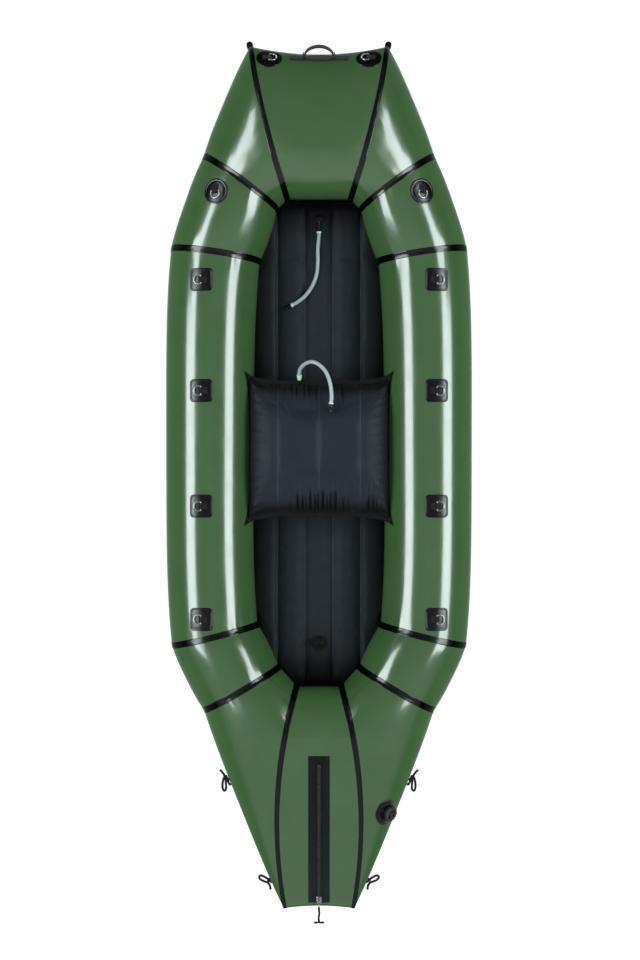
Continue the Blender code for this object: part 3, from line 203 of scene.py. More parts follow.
def turned_mesh(name, profile, sides, ribs=0, rib_depth=0, rib_share=0.5):
    """A solid turned about Z from (radius, height, ribbed) points; ribs notch the ribbed rings."""
    rows = []
    for radius, height, ribbed in profile:
        row = []
        for step in range(sides):
            angle = 2 * math.pi * step / sides
            wave = math.cos(angle * ribs) if ribs else 1
            notch = rib_depth * min(max((rib_share - wave) * 2.5, 0), 1) if ribs and ribbed else 0
            reach = radius - notch
            row.append((reach * math.cos(angle), reach * math.sin(angle), height))
        rows.append(row)
    return loop_mesh(name, rows, closed=False)


def rounded_profile(corners, radius, steps=4):
    """Softens the inner corners of a turned profile of (radius, height) pairs."""
    way = [tuple(corners[0])]
    for before, here, after in zip(corners, corners[1:], corners[2:]):
        b, h, a = (Vector(p) for p in (before, here, after))
        size = min(radius, (b - h).length * 0.45, (a - h).length * 0.45)
        start = h + (b - h).normalized() * size
        end = h + (a - h).normalized() * size
        for i in range(steps + 1):
            t = i / steps
            point = start * (1 - t) ** 2 + h * 2 * t * (1 - t) + end * t * t
            way.append((point.x, point.y))
    way.append(tuple(corners[-1]))
    return way


def plain_turned(name, corners, softness, sides=96):
    return turned_mesh(name, [(r, z, False) for r, z in rounded_profile(corners, softness)], sides)


def smooth_way(route, count, closed=False):
    """Even points on a smooth curve through the route's own points."""
    way = np.array(route, float)
    if closed:
        ahead = np.vstack([way[-1], way, way[:2]])
    else:
        ahead = np.vstack([2 * way[0] - way[1], way, 2 * way[-1] - way[-2]])
    dense = []
    for i in range(1, len(ahead) - 2):
        p0, p1, p2, p3 = ahead[i - 1 : i + 3]
        for t in np.linspace(0, 1, 24, endpoint=False):
            dense.append(
                (2 * p1 + (p2 - p0) * t + (2 * p0 - 5 * p1 + 4 * p2 - p3) * t**2
                 + (3 * p1 - p0 - 3 * p2 + p3) * t**3) / 2
            )
    dense.append(way[0] if closed else way[-1])
    dense = np.array(dense)
    run = np.concatenate([[0], np.cumsum(np.linalg.norm(np.diff(dense, axis=0), axis=1))])
    even = np.linspace(0, run[-1], count, endpoint=not closed)
    return np.column_stack([np.interp(even, run, dense[:, axis]) for axis in range(3)])


def tube_rows(points, radii, sides, closed=False):
    """Rings of points along a path, turned as little as possible from one to the next."""
    points = np.array(points, float)
    count = len(points)
    if closed:
        ahead = np.roll(points, -1, axis=0) - np.roll(points, 1, axis=0)
    else:
        ahead = np.gradient(points, axis=0)
    ahead /= np.linalg.norm(ahead, axis=1)[:, None]
    side = np.cross(ahead[0], (0, 0, 1) if abs(ahead[0][2]) < 0.9 else (1, 0, 0))
    side /= np.linalg.norm(side)
    radii = np.broadcast_to(radii, (count,))
    rows = []
    for i in range(count):
        side = side - ahead[i] * np.dot(side, ahead[i])
        side /= np.linalg.norm(side)
        up = np.cross(ahead[i], side)
        angles = 2 * math.pi * np.arange(sides) / sides
        ring = np.cos(angles)[:, None] * side + np.sin(angles)[:, None] * up
        rows.append(points[i] + ring * radii[i])
    return rows


def cord_curve(name, points, diameter, resolution=6):
    """A round cord as one smooth open curve through its points."""
    curve = bpy.data.curves.new(name, "CURVE")
    curve.dimensions = "3D"
    curve.bevel_depth = diameter / 2
    curve.bevel_resolution = resolution
    curve.resolution_u = 6
    curve.use_fill_caps = True
    spline = curve.splines.new("BEZIER")
    spline.bezier_points.add(len(points) - 1)
    for slot, point in zip(spline.bezier_points, points):
        slot.co = point
        slot.handle_left_type = slot.handle_right_type = "AUTO"
    return curve


def squared(value, power):
    """A cosine or sine pushed outwards by a power below 1, which squares a round outline off."""
    return math.copysign(abs(value) ** power, value)


# ---- hull surface ----------------------------------------------------------------------------------

def resampled(points, count, ease):
    run = np.concatenate([[0], np.cumsum(np.linalg.norm(np.diff(points, axis=0), axis=1))])
    step = np.linspace(0, 1, count + 1)
    if ease:
        step = np.sin(step * math.pi / 2)
    return np.column_stack([np.interp(step * run[-1], run, points[:, axis]) for axis in range(2)])


class Rib:
    """One cross-section of the hull ring, in the upright plane through its inner and outer points."""

    def __init__(self, shares, side, reach, along, rises, fullness, nose_lift=0, tip_depth=0, curve=0):
        inner_x, inner_y, outer_x, outer_y, crest, crown, keel = shares
        self.inner = np.array([side * inner_x * HALF_GAP, along * inner_y * reach])
        self.outer = np.array([side * outer_x * HALF_BEAM, along * outer_y * reach])
        self.crest = crest
        self.crown = KEEL + TUBE + crown * rises[0]
        self.keel = KEEL + keel * rises[1]
        self.nose = (self.crown + self.keel) / 2 + nose_lift
        self.tip_depth = tip_depth
        self.fullness = fullness
        self.bend = side * curve

    def quarter(self, upper, outer, count):
        """Chord share and height from the crest (or keel) to the outer (or inner) end."""
        top = self.crown if upper else self.keel
        middle = self.nose if outer else (self.crown + self.keel) / 2
        power = self.fullness if outer else ROUND_FULLNESS
        angle = np.linspace(0, math.pi / 2, SECTION_STEPS)
        reach = np.sin(angle) ** (2 / power)
        share = self.crest + ((1 if outer else 0) - self.crest) * reach
        tip = middle + math.copysign(self.tip_depth / 2, top - middle) if outer and self.tip_depth else top
        line = top + (tip - top) * reach
        height = middle + (line - middle) * np.cos(angle) ** (2 / power)
        return resampled(np.column_stack([share, height]), count, ease=outer)

    def points(self):
        """Closed section in space, from the outer tip over the crown and back under the keel."""
        way = np.vstack([
            self.quarter(True, True, OUTER_POINTS)[::-1][:-1],
            self.quarter(True, False, INNER_POINTS)[:-1],
            self.quarter(False, False, INNER_POINTS)[::-1][:-1],
            self.quarter(False, True, OUTER_POINTS)[:-1],
        ])
        share = way[:, 0]
        plan = self.inner + share[:, None] * (self.outer - self.inner)
        chord = self.outer - self.inner
        aside = np.array([abs(chord[1]), 0]) / np.linalg.norm(chord)
        plan = plan + (self.bend * 4 * share * (1 - share))[:, None] * aside
        return np.column_stack([plan, way[:, 1]])


BOW = (BOW_RISE, BOW_KEEL_RISE)
STERN = (STERN_RISE, STERN_KEEL_RISE)


def hull_ribs(side):
    return [
        Rib(BOW_SEAM_SHARES, side, BOW_REACH, 1, BOW, BOW_FULLNESS, curve=BOW_SEAM_CURVE),
        Rib(FORE_SEAM_SHARES, side, BOW_REACH, 1, BOW, ROUND_FULLNESS),
        Rib(SIDE_FORE_SHARES, side, BOW_REACH, 1, BOW, ROUND_FULLNESS),
        Rib(SIDE_AFT_SHARES, side, STERN_REACH, -1, STERN, ROUND_FULLNESS),
        Rib(AFT_SEAM_SHARES, side, STERN_REACH, -1, STERN, ROUND_FULLNESS),
        Rib(STERN_SEAM_SHARES, side, STERN_REACH, -1, STERN, STERN_FULLNESS,
            STERN_NOSE_LIFT, STERN_TIP_DEPTH, STERN_SEAM_CURVE),
    ]


RIBS = hull_ribs(1) + hull_ribs(-1)[::-1]
PANEL_NAMES = (
    "bow_quarter_right", "fore_side_right", "side_tube_right", "aft_side_right", "stern_quarter_right",
    "stern_panel", "stern_quarter_left", "aft_side_left", "side_tube_left", "fore_side_left",
    "bow_quarter_left", "bow_panel",
)
MIDDLES = {
    "stern_panel": Rib(STERN_MIDDLE_SHARES, 0, STERN_REACH, -1, STERN, STERN_FULLNESS,
                       STERN_NOSE_LIFT, STERN_TIP_DEPTH),
    "bow_panel": Rib(BOW_MIDDLE_SHARES, 0, BOW_REACH, 1, BOW, BOW_FULLNESS),
}
SET_OUTS = {"side_tube_right": SIDE_SET_OUT, "side_tube_left": -SIDE_SET_OUT}


def arc_length(ring):
    """Distance round a section from its outer tip to each of its points."""
    run = np.linalg.norm(np.roll(ring, -1, axis=0) - ring, axis=1)
    return np.concatenate([[0], np.cumsum(run)[:-1]])


class Panel:
    """The smooth skin between two neighbouring ribs; u runs 0 to 1 from one to the other."""

    def __init__(self, number):
        name = PANEL_NAMES[number]
        self.number = number
        self.start = RIBS[number].points()
        self.end = RIBS[(number + 1) % len(RIBS)].points()
        self.length = np.linalg.norm(self.end - self.start, axis=1)
        self.swell = np.minimum(SWELL, SWELL_SHARE * self.length)[:, None]
        self.lift = np.zeros_like(self.start)
        if name in MIDDLES:
            self.lift = MIDDLES[name].points() - (self.start + self.end) / 2
        if name in MIDDLES or name in SET_OUTS:
            self.swell = np.zeros((len(self.start), 1))
        self.set_out = np.array([SET_OUTS.get(name, 0), 0, 0])
        self.arcs = [arc_length(self.start), arc_length(self.end)]

    def plain(self, u):
        """The skin straight from rib to rib, with the middle rib's lift and the side tube's bow."""
        across = 4 * u * (1 - u)
        set_out = 1 - (2 * u - 1) ** 4
        return self.start + (self.end - self.start) * u + self.lift * across + self.set_out * set_out

    def facing(self, shape, u):
        """Outward normals of one of the panel's shapes, from its points a little either side of u."""
        small = 1 / 240
        along = shape(u + small) - shape(u - small)
        here = shape(u)
        around = np.roll(here, -1, axis=0) - np.roll(here, 1, axis=0)
        out = np.cross(around, along)
        return out / np.linalg.norm(out, axis=1)[:, None]

    def swollen(self, u):
        """The plain skin blown out between its ribs, less on its underside."""
        out = self.facing(self.plain, u)
        return self.plain(u) + out * self.swell * np.minimum(1, 1 + out[:, 2:]) * (1 - np.abs(2 * u - 1) ** 3)

    def column(self, u):
        return np.broadcast_to(np.asarray(u, float).reshape(-1, 1), (len(self.start), 1))

    def skin(self, u, offset):
        u = self.column(u)
        return self.swollen(u) + self.facing(self.swollen, u) * offset

    def pucker(self, u, depth, fade):
        """Small inward folds that run out of both seams, deepest a little way from them and on the inner
        side of the ring, where the cloth is gathered. A column of offsets."""
        u = self.column(u)[:, 0]
        total = np.zeros(len(u))
        tight = np.interp(np.arange(len(u)), INWARD_ROWS, INWARD_WEIGHTS)
        for end, share in ((0, u), (1, 1 - u)):
            seam = (self.number + end) % len(PANEL_NAMES)
            arc = self.arcs[end]
            wave = (0.5 * np.sin(2 * math.pi * arc / 0.047 + 1.7 * seam)
                    + 0.3 * np.sin(2 * math.pi * arc / 0.029 + 3.1 * seam)
                    + 0.2 * np.sin(2 * math.pi * arc / 0.083 + 5.3 * seam))
            away = share * self.length / fade
            total -= depth * (0.5 + 0.5 * wave) * away * np.exp(1 - away) * tight
        return total[:, None]

    def cloth(self, u, offset):
        """The skin with its puckers, offset outwards."""
        return self.skin(u, offset + self.pucker(u, PUCKER_DEPTH, PUCKER_FADE))


PUCKER_DEPTH = 0.0030
PUCKER_FADE = 0.016

# Rows of a section with how much the cloth gathers there: least on the outer side, most on the inner
INWARD_ROWS = (0, OUTER_POINTS, OUTER_POINTS + INNER_POINTS, OUTER_POINTS + 2 * INNER_POINTS,
               2 * (OUTER_POINTS + INNER_POINTS))
INWARD_WEIGHTS = (0.15, 0.35, 1.0, 0.5, 0.15)


def seam_line(first, second, offset):
    """The line where two panels meet, held offset from both of them."""
    before = first.facing(first.swollen, first.column(1))
    after = second.facing(second.swollen, second.column(0))
    middle = before + after
    middle /= np.linalg.norm(middle, axis=1)[:, None]
    reach = offset / np.sum(middle * before, axis=1)[:, None]
    return first.swollen(first.column(1)) + middle * reach


PANELS = [Panel(number) for number in range(len(PANEL_NAMES))]


def hull_tree():
    """The smooth outer skin, only to seat fittings on."""
    points = []
    for panel in PANELS:
        for u in np.linspace(0, 1, 24):
            points.append(panel.skin(u, 0))
    count = len(PANELS[0].start)
    faces = loop_faces(len(points), count, closed=True)
    return BVHTree.FromPolygons([tuple(p) for row in points for p in row], faces)


SMOOTH = hull_tree()


def node_frame(place, x, y, z):
    """A frame from its place and its three directions."""
    made = Matrix((x, y, z)).transposed().to_4x4()
    made.translation = place
    return made


def facing_frame(place, up, heading):
    """Frame at a place: Z along up, X nearest to heading."""
    ahead = Vector(heading)
    ahead = (ahead - up * ahead.dot(up)).normalized()
    return node_frame(place, ahead, up.cross(ahead), up)


def below(x, y):
    """Where a plumb line through plan place (x, y) meets the hull's upper side, and its normal there."""
    place, facing, _, _ = SMOOTH.ray_cast(Vector((x, y, 2 * TUBE + BOW_RISE)), Vector((0, 0, -1)))
    return place, facing


def seat_on(x, y, heading, spread=0.014):
    """Frame on the hull at plan place (x, y): Z along its mean normal there, X nearest to heading."""
    total = Vector()
    for dx, dy in ((spread, spread), (-spread, spread), (spread, -spread), (-spread, -spread)):
        _, near = below(x + dx, y + dy)
        if near:
            total += near if near.z > 0 else -near
    return facing_frame(below(x, y)[0], total.normalized(), heading)


def draped(place, a, b, lift):
    """The point in space over (a, b) of a frame that lies lift above the hull."""
    up = place.col[2].to_3d()
    start = place @ Vector((a, b, TUBE / 2))
    hit, facing, _, _ = SMOOTH.ray_cast(start, -up)
    if facing.dot(up) < 0:
        facing = -facing
    return hit + facing * lift


def draped_plate(name, place, outline, steps):
    """A plate on the hull: its outline at each (share of itself, lift) of the steps, its underside first."""
    rows = [[draped(place, a * share, b * share, lift) for a, b in outline] for share, lift in steps]
    return loop_mesh(name, rows, closed=False)


# ---- materials -------------------------------------------------------------------------------------

def blank(name, colour, roughness, metallic=0.0, specular=0.5):
    """A Principled material, its tree and its shader; plain values sit on the shader's own sockets."""
    made = bpy.data.materials.new(name)
    made.use_nodes = True
    tree = made.node_tree
    shader = tree.nodes["Principled BSDF"]
    shader.inputs["Base Color"].default_value = linear(colour)
    shader.inputs["Roughness"].default_value = roughness
    shader.inputs["Metallic"].default_value = metallic
    shader.inputs["Specular IOR Level"].default_value = specular
    return made, tree, shader


def place_of(tree, scale=(1, 1, 1)):
    """The point of the surface in the object's own metres, stretched by scale."""
    spot = put(tree, "TexCoord")
    return put(tree, "Mapping", None, {"Vector": spot.outputs["Object"], "Scale": scale}).outputs[0]


def apart(size):
    """Scale of a pattern whose features lie this many millimetres apart."""
    return 1000 / size


def mottled(tree, shader, spot, dark, light, size):
    """Colour that wanders between two tones in soft patches, size millimetres apart."""
    cloud = put(tree, "TexNoise", None, {"Vector": spot, "Scale": apart(size), "Detail": 4.0})
    tone = put(tree, "MixRGB", None, {"Fac": cloud.outputs["Fac"], "Color1": linear(dark),
                                      "Color2": linear(light)})
    tree.links.new(tone.outputs[0], shader.inputs["Base Color"])
    return tone


def worn_roughness(tree, shader, spot, low, high, size):
    """Gloss that varies a little, in patches size millimetres apart, as where hands have touched it."""
    cloud = put(tree, "TexNoise", None, {"Vector": spot, "Scale": apart(size), "Detail": 5.0})
    span = put(tree, "MapRange", None, {"Value": cloud.outputs["Fac"], "From Min": 0.3, "From Max": 0.7,
                                        "To Min": low, "To Max": high})
    tree.links.new(span.outputs[0], shader.inputs["Roughness"])


def soft_edge_gloss(tree, shader, socket, level):
    """Gloss that sinks where the surface turns away, as the drawn film's does, so no pale rim forms."""
    turn = put(tree, "LayerWeight", None, {"Blend": 0.5})
    fade = put(tree, "MapRange", {"interpolation_type": "SMOOTHSTEP"},
               {"Value": turn.outputs["Facing"], "From Min": 0.14, "From Max": 0.29,
                "To Min": level, "To Max": 0.01})
    tree.links.new(fade.outputs[0], shader.inputs[socket])


def weave_height(tree, spot, pitch):
    """Over-and-under threads of a plain weave, pitch metres apart, as a height from 0 to 1."""
    turns = 2 * math.pi / pitch
    parts = put(tree, "SeparateXYZ", None, {"Vector": spot})
    lean = put(tree, "Math", {"operation": "MULTIPLY_ADD"},
               {0: parts.outputs["Z"], 1: 0.7, 2: parts.outputs["X"]})
    rise = put(tree, "Math", {"operation": "MULTIPLY_ADD"},
               {0: parts.outputs["Z"], 1: 0.7, 2: parts.outputs["Y"]})
    waves = []
    for run in (lean, rise):
        turn = put(tree, "Math", {"operation": "MULTIPLY"}, {0: run.outputs[0], 1: turns})
        waves.append(put(tree, "Math", {"operation": "SINE"}, {0: turn.outputs[0]}))
    cross = put(tree, "Math", {"operation": "MULTIPLY"}, {0: waves[0].outputs[0], 1: waves[1].outputs[0]})
    return put(tree, "Math", {"operation": "MULTIPLY_ADD"}, {0: cross.outputs[0], 1: 0.5, 2: 0.5}).outputs[0]


def bumped(tree, shader, heights):
    """Chains bumps, each (height socket, strength, depth in metres), into the shader's normal."""
    normal = None
    for height, strength, depth in heights:
        sockets = {"Height": height, "Strength": strength, "Distance": depth}
        if normal:
            sockets["Normal"] = normal
        normal = put(tree, "Bump", None, sockets).outputs[0]
    tree.links.new(normal, shader.inputs["Normal"])


def painted_edge_shade_and_reflection(tree, shader, spot, tone, colour, aside, along):
    """Painted light near a piece's edges: mixes a colour in there, a painted shade where that colour is dark
    and a painted reflection where it is pale. Aside is where that starts and is full in distance from the
    middle line, along the same with the middle's place first. Returns the mixed colour."""
    parts = put(tree, "SeparateXYZ", None, {"Vector": spot})
    shares = []
    for axis, middle, start, full in (("X", 0, *aside), ("Y", *along)):
        offset = put(tree, "Math", {"operation": "SUBTRACT"}, {0: parts.outputs[axis], 1: middle})
        away = put(tree, "Math", {"operation": "ABSOLUTE"}, {0: offset.outputs[0]})
        shares.append(put(tree, "MapRange", {"interpolation_type": "SMOOTHSTEP"},
                          {"Value": away.outputs[0], "From Min": start, "From Max": full,
                           "To Min": 0.0, "To Max": 0.92}))
    either = put(tree, "Math", {"operation": "MAXIMUM"}, {0: shares[0].outputs[0], 1: shares[1].outputs[0]})
    mixed = put(tree, "MixRGB", None, {"Fac": either.outputs[0], "Color1": tone.outputs[0],
                                       "Color2": linear(colour)})
    tree.links.new(mixed.outputs[0], shader.inputs["Base Color"])
    return mixed


def weld_crease_highlights(tree, shader, spot, tone, colour, pitch, offset):
    """The pressed lines that weld a mat's chambers, pitch metres apart: a painted highlight, a thin paler line
    along each crease, broken into patches.
    """
    parts = put(tree, "SeparateXYZ", None, {"Vector": spot})
    across = put(tree, "Math", {"operation": "ADD"}, {0: parts.outputs["X"], 1: offset})
    away = put(tree, "Math", {"operation": "PINGPONG"}, {0: across.outputs[0], 1: pitch / 2})
    edge = put(tree, "MapRange", {"interpolation_type": "SMOOTHSTEP"},
               {"Value": away.outputs[0], "From Min": 0.0006, "From Max": 0.0024,
                "To Min": 0.8, "To Max": 0.0})
    patchy = put(tree, "TexNoise", None, {"Vector": spot, "Scale": apart(90.9), "Detail": 1.0})
    patchy_crease_highlight = put(tree, "Math", {"operation": "MULTIPLY"}, {0: edge.outputs[0], 1: patchy.outputs["Fac"]})
    mixed = put(tree, "MixRGB", None, {"Fac": patchy_crease_highlight.outputs[0], "Color1": tone.outputs[0],
                                       "Color2": linear(colour)})
    tree.links.new(mixed.outputs[0], shader.inputs["Base Color"])
    return mixed


def coated_hull_cloth():
    """210-denier nylon calendered with a TPU film: an even green under a wet-looking gloss skin, with the
    weave only just telling through it. Threads are 0.35 mm apart and drawn at 1.6 mm so that they show."""
    made, tree, shader = blank("tpu_coated_nylon_calendered", "#45603e", 0.20, specular=0.75)
    shader.inputs["IOR"].default_value = 1.52
    shader.inputs["Coat Roughness"].default_value = 0.10
    shader.inputs["Coat IOR"].default_value = 1.5
    soft_edge_gloss(tree, shader, "Coat Weight", 0.95)
    soft_edge_gloss(tree, shader, "Specular IOR Level", 0.95)
    spot = place_of(tree)
    mottled(tree, shader, spot, "#43613a", "#4c6c43", 111)
    worn_roughness(tree, shader, spot, 0.17, 0.25, 71.4)
    ripple = put(tree, "TexNoise", None, {"Vector": spot, "Scale": apart(38.5), "Detail": 2.0})
    bumped(tree, shader, [(weave_height(tree, spot, 0.0016), 0.10, 0.00010),
                          (ripple.outputs["Fac"], 0.22, 0.0012)])
    return made


def welded_tape():
    """TPU seam tape, hot-air welded: glossy black with a slight orange peel from the roller."""
    made, tree, shader = blank("tpu_seam_tape_welded", "#060707", 0.22, specular=0.6)
    shader.inputs["Coat Roughness"].default_value = 0.12
    soft_edge_gloss(tree, shader, "Coat Weight", 0.3)
    soft_edge_gloss(tree, shader, "Specular IOR Level", 0.6)
    spot = place_of(tree)
    mottled(tree, shader, spot, "#040505", "#090b0a", 25)
    peel = put(tree, "TexNoise", None, {"Vector": spot, "Scale": apart(6.25), "Detail": 2.0})
    bumped(tree, shader, [(peel.outputs["Fac"], 0.30, 0.0006)])
    return made


def patch_film():
    """Reinforced TPU patch, pressed on a knurled plate: black with a fine raised diamond grid, 3 mm apart."""
    made, tree, shader = blank("tpu_patch_pressed", "#080909", 0.20, specular=0.7)
    soft_edge_gloss(tree, shader, "Specular IOR Level", 0.7)
    spot = place_of(tree)
    mottled(tree, shader, spot, "#060707", "#0c0e0f", 16.7)
    worn_roughness(tree, shader, spot, 0.16, 0.26, 14.3)
    bumped(tree, shader, [(weave_height(tree, spot, 0.0060), 0.30, 0.0005)])
    return made


def floor_cloth():
    """Nylon laminated to TPU, woven side out: charcoal, matt, a faint sheen across the threads, and blacker
    all round its edge, a painted shade where the tubes shade it. Threads are 0.3 mm apart and drawn at 1.8 mm."""
    made, tree, shader = blank("laminated_nylon_woven_charcoal", "#23282c", 0.60, specular=0.25)
    shader.inputs["Sheen Weight"].default_value = 0.04
    shader.inputs["Sheen Roughness"].default_value = 0.5
    spot = place_of(tree)
    tone = mottled(tree, shader, spot, "#22272c", "#292f37", 62.5)
    # Painted highlight: paler lines along the weld creases.
    tone = weld_crease_highlights(tree, shader, spot, tone, "#59636b", FLOOR_CHAMBER, FLOOR_CHAMBER / 2)
    # Painted shade: near-black mixed in round the floor's sides and ends, next to the tubes.
    painted_edge_shade_and_reflection(tree, shader, spot, tone, "#050606", (0.12, 0.205), (0.11, 0.66, 0.80))
    worn_roughness(tree, shader, spot, 0.54, 0.68, 33.3)
    crumple = put(tree, "TexNoise", None,
                  {"Vector": place_of(tree, (1, 0.35, 1)), "Scale": apart(29.4), "Detail": 3.0})
    bumped(tree, shader, [(weave_height(tree, spot, 0.0018), 0.30, 0.00025),
                          (crumple.outputs["Fac"], 0.14, 0.0016)])
    return made


def seat_cloth():
    """Polyester laminated to TPU, woven side out: blue-grey charcoal with a silky sheen, and a painted shade,
    black, at its rim.
    Threads are 0.25 mm apart and drawn at 1.6 mm."""
    made, tree, shader = blank("laminated_polyester_woven", "#20242b", 0.56, specular=0.25)
    shader.inputs["Sheen Weight"].default_value = 0.05
    shader.inputs["Sheen Roughness"].default_value = 0.4
    spot = place_of(tree)
    tone = mottled(tree, shader, spot, "#20242b", "#292e37", 71.4)
    # Painted highlight: paler lines along the weld creases.
    tone = weld_crease_highlights(tree, shader, spot, tone, "#4c545c", SEAT_SEAM, 0)
    # Painted shade: black mixed in round the cushion's rim.
    painted_edge_shade_and_reflection(tree, shader, spot, tone, "#040505", (0.203, 0.232), (0.088, 0.166, 0.214))
    worn_roughness(tree, shader, spot, 0.50, 0.62, 38.5)
    crumple = put(tree, "TexNoise", None,
                  {"Vector": place_of(tree, (1, 0.5, 1)), "Scale": apart(33.3), "Detail": 3.0})
    bumped(tree, shader, [(weave_height(tree, spot, 0.0016), 0.25, 0.0002),
                          (crumple.outputs["Fac"], 0.10, 0.0012)])
    return made


def moulded_nylon():
    """Glass-filled nylon, injection moulded: black, half matt under a skin that glints at its edges, with a
    fine spark-eroded grain of 0.8 mm."""
    made, tree, shader = blank("nylon_moulded_black", "#070808", 0.38, specular=0.32)
    shader.inputs["Coat Weight"].default_value = 0.35
    shader.inputs["Coat Roughness"].default_value = 0.16
    spot = place_of(tree)
    mottled(tree, shader, spot, "#050606", "#0b0c0d", 11.1)
    grain = put(tree, "TexVoronoi", None, {"Vector": spot, "Scale": apart(0.8)})
    bumped(tree, shader, [(grain.outputs["Distance"], 0.20, 0.0001)])
    return made


def silicone():
    """Silicone rubber, moulded: dull black that takes no highlight, dusty in its hollows."""
    made, tree, shader = blank("silicone_moulded_black", "#141415", 0.60, specular=0.4)
    spot = place_of(tree)
    mottled(tree, shader, spot, "#111112", "#1c1d1e", 8.33)
    dust = put(tree, "TexNoise", None, {"Vector": spot, "Scale": apart(2.5)})
    bumped(tree, shader, [(dust.outputs["Fac"], 0.15, 0.0002)])
    return made


def clear_tube():
    """Thermoplastic tubing, extruded: cloudy, faintly blue, lit through from its sides."""
    made, tree, shader = blank("tpu_tube_extruded_clear", "#c3ced3", 0.22, specular=0.6)
    shader.inputs["Transmission Weight"].default_value = 0.12
    shader.inputs["IOR"].default_value = 1.45
    spot = place_of(tree)
    mottled(tree, shader, spot, "#bcc8ce", "#ced8dc", 16.7)
    drawn = put(tree, "TexNoise", None, {"Vector": spot, "Scale": apart(4.55)})
    bumped(tree, shader, [(drawn.outputs["Fac"], 0.08, 0.0002)])
    return made


def cut_tube_end():
    """The thick cut end of the tubing over a barb: packed and whiter, where the wall is stretched."""
    made, tree, shader = blank("tpu_tube_stretched_white", "#f0f4f2", 0.35)
    mottled(tree, shader, place_of(tree), "#e8efec", "#fafcfb", 5)
    return made


def glow_barb():
    """Barb of polypropylene, moulded: pale green, waxy, light goes a little into it, with a painted glow from a
    faint emission though it is no lamp.
    """
    made, tree, shader = blank("polypropylene_moulded_pale_green", "#b9f2c0", 0.38)
    # Painted glow: a faint emission that brightens the barb.
    shader.inputs["Emission Color"].default_value = linear("#a4f0ac")
    shader.inputs["Emission Strength"].default_value = 0.22
    shader.inputs["Subsurface Weight"].default_value = 0.2
    shader.inputs["Subsurface Scale"].default_value = 0.004
    mottled(tree, shader, place_of(tree), "#a9e8b2", "#c8f8cc", 6.67)
    return made


def bent_steel():
    """Stainless steel wire, bent, welded and tumbled: bright, with fine scratches along it."""
    made, tree, shader = blank("stainless_steel_tumbled", "#c9c9c7", 0.22, metallic=1.0)
    spot = place_of(tree)
    worn_roughness(tree, shader, spot, 0.16, 0.34, 2)
    scratch = put(tree, "TexNoise", None, {"Vector": place_of(tree, (1, 6, 1)), "Scale": apart(1.43)})
    bumped(tree, shader, [(scratch.outputs["Fac"], 0.12, 0.0001)])
    return made


def webbing(name, dark, light, roughness):
    """Polyester webbing, woven on a needle loom: ribs 1.2 mm apart across the strap, drawn at 2.2 mm,
    dull black that greys on its ribs."""
    made, tree, shader = blank(name, dark, roughness, specular=0.35)
    spot = place_of(tree)
    rib = weave_height(tree, spot, 0.0022)
    tone = put(tree, "MixRGB", None, {"Fac": rib, "Color1": linear(dark), "Color2": linear(light)})
    tree.links.new(tone.outputs[0], shader.inputs["Base Color"])
    bumped(tree, shader, [(rib, 0.7, 0.0006)])
    return made


def coated_zip_tape():
    """Polyester zip tape coated with polyurethane: satin black, with a painted reflection of the bright room:
    blue-grey aft, where it bends down.
    """
    made, tree, shader = blank("polyurethane_coated_zip_tape", "#121314", 0.36, specular=0.4)
    spot = place_of(tree)
    tone = mottled(tree, shader, spot, "#060708", "#0d0f11", 22.2)
    # Painted reflection: blue-grey mixed in towards the stern's end.
    painted_edge_shade_and_reflection(tree, shader, spot, tone, "#171b1f", (1.0, 2.0), (-0.9, 0.12, 0.50))
    worn_roughness(tree, shader, spot, 0.30, 0.44, 16.7)
    bumped(tree, shader, [(weave_height(tree, spot, 0.0016), 0.25, 0.0002)])
    return made


def coated_zip_lips():
    """The zip's sealing lips, coated thicker: satin, a paler grey than the tape."""
    made, tree, shader = blank("polyurethane_coated_zip_lips", "#222528", 0.30, specular=0.6)
    spot = place_of(tree)
    mottled(tree, shader, spot, "#1a1d20", "#2d3135", 16.7)
    worn_roughness(tree, shader, spot, 0.24, 0.40, 11.1)
    rub = put(tree, "TexNoise", None, {"Vector": place_of(tree, (6, 1, 6)), "Scale": apart(11.1)})
    bumped(tree, shader, [(rub.outputs["Fac"], 0.2, 0.0002)])
    return made


def braided_cord():
    """Polyester accessory cord, braided: black, its strands crossing 1.5 mm apart in diamonds."""
    made, tree, shader = blank("polyester_cord_braided", "#101011", 0.65, specular=0.35)
    spot = place_of(tree)
    braid = weave_height(tree, spot, 0.0030)
    tone = put(tree, "MixRGB", None, {"Fac": braid, "Color1": linear("#0b0b0c"), "Color2": linear("#232425")})
    tree.links.new(tone.outputs[0], shader.inputs["Base Color"])
    bumped(tree, shader, [(braid, 0.6, 0.0005)])
    return made


HULL_CLOTH = coated_hull_cloth()
TAPE = welded_tape()
PATCH_FILM = patch_film()
FLOOR_CLOTH = floor_cloth()
SEAT_CLOTH = seat_cloth()
MOULDED = moulded_nylon()
RUBBER = silicone()
CLEAR_TUBE = clear_tube()
TUBE_END = cut_tube_end()
GLOW = glow_barb()
STEEL = bent_steel()
WEBBING = webbing("polyester_webbing_woven", "#0d0d0e", "#242527", 0.62)
ZIP_TAPE = coated_zip_tape()
ZIP_LIPS_FINISH = coated_zip_lips()
CORD = braided_cord()


# ---- camera ----------------------------------------------------------------------------------------

CAMERA_PLACE = (0.0034, -0.0168, 7.5)
CAMERA_LENS = 82.1
CAMERA_SENSOR = 36


def add_camera():
    """Straight overhead, as the photograph was taken: one picture row is 3.36 mm on the tubes' sides."""
    lens = bpy.data.cameras.new("camera")
    lens.lens = CAMERA_LENS
    lens.sensor_width = CAMERA_SENSOR
    made = bpy.data.objects.new("camera", lens)
    made.location = CAMERA_PLACE
    bpy.context.scene.collection.objects.link(made)
    bpy.context.scene.camera = made


add_camera()


# ---- cords -----------------------------------------------------------------------------------------

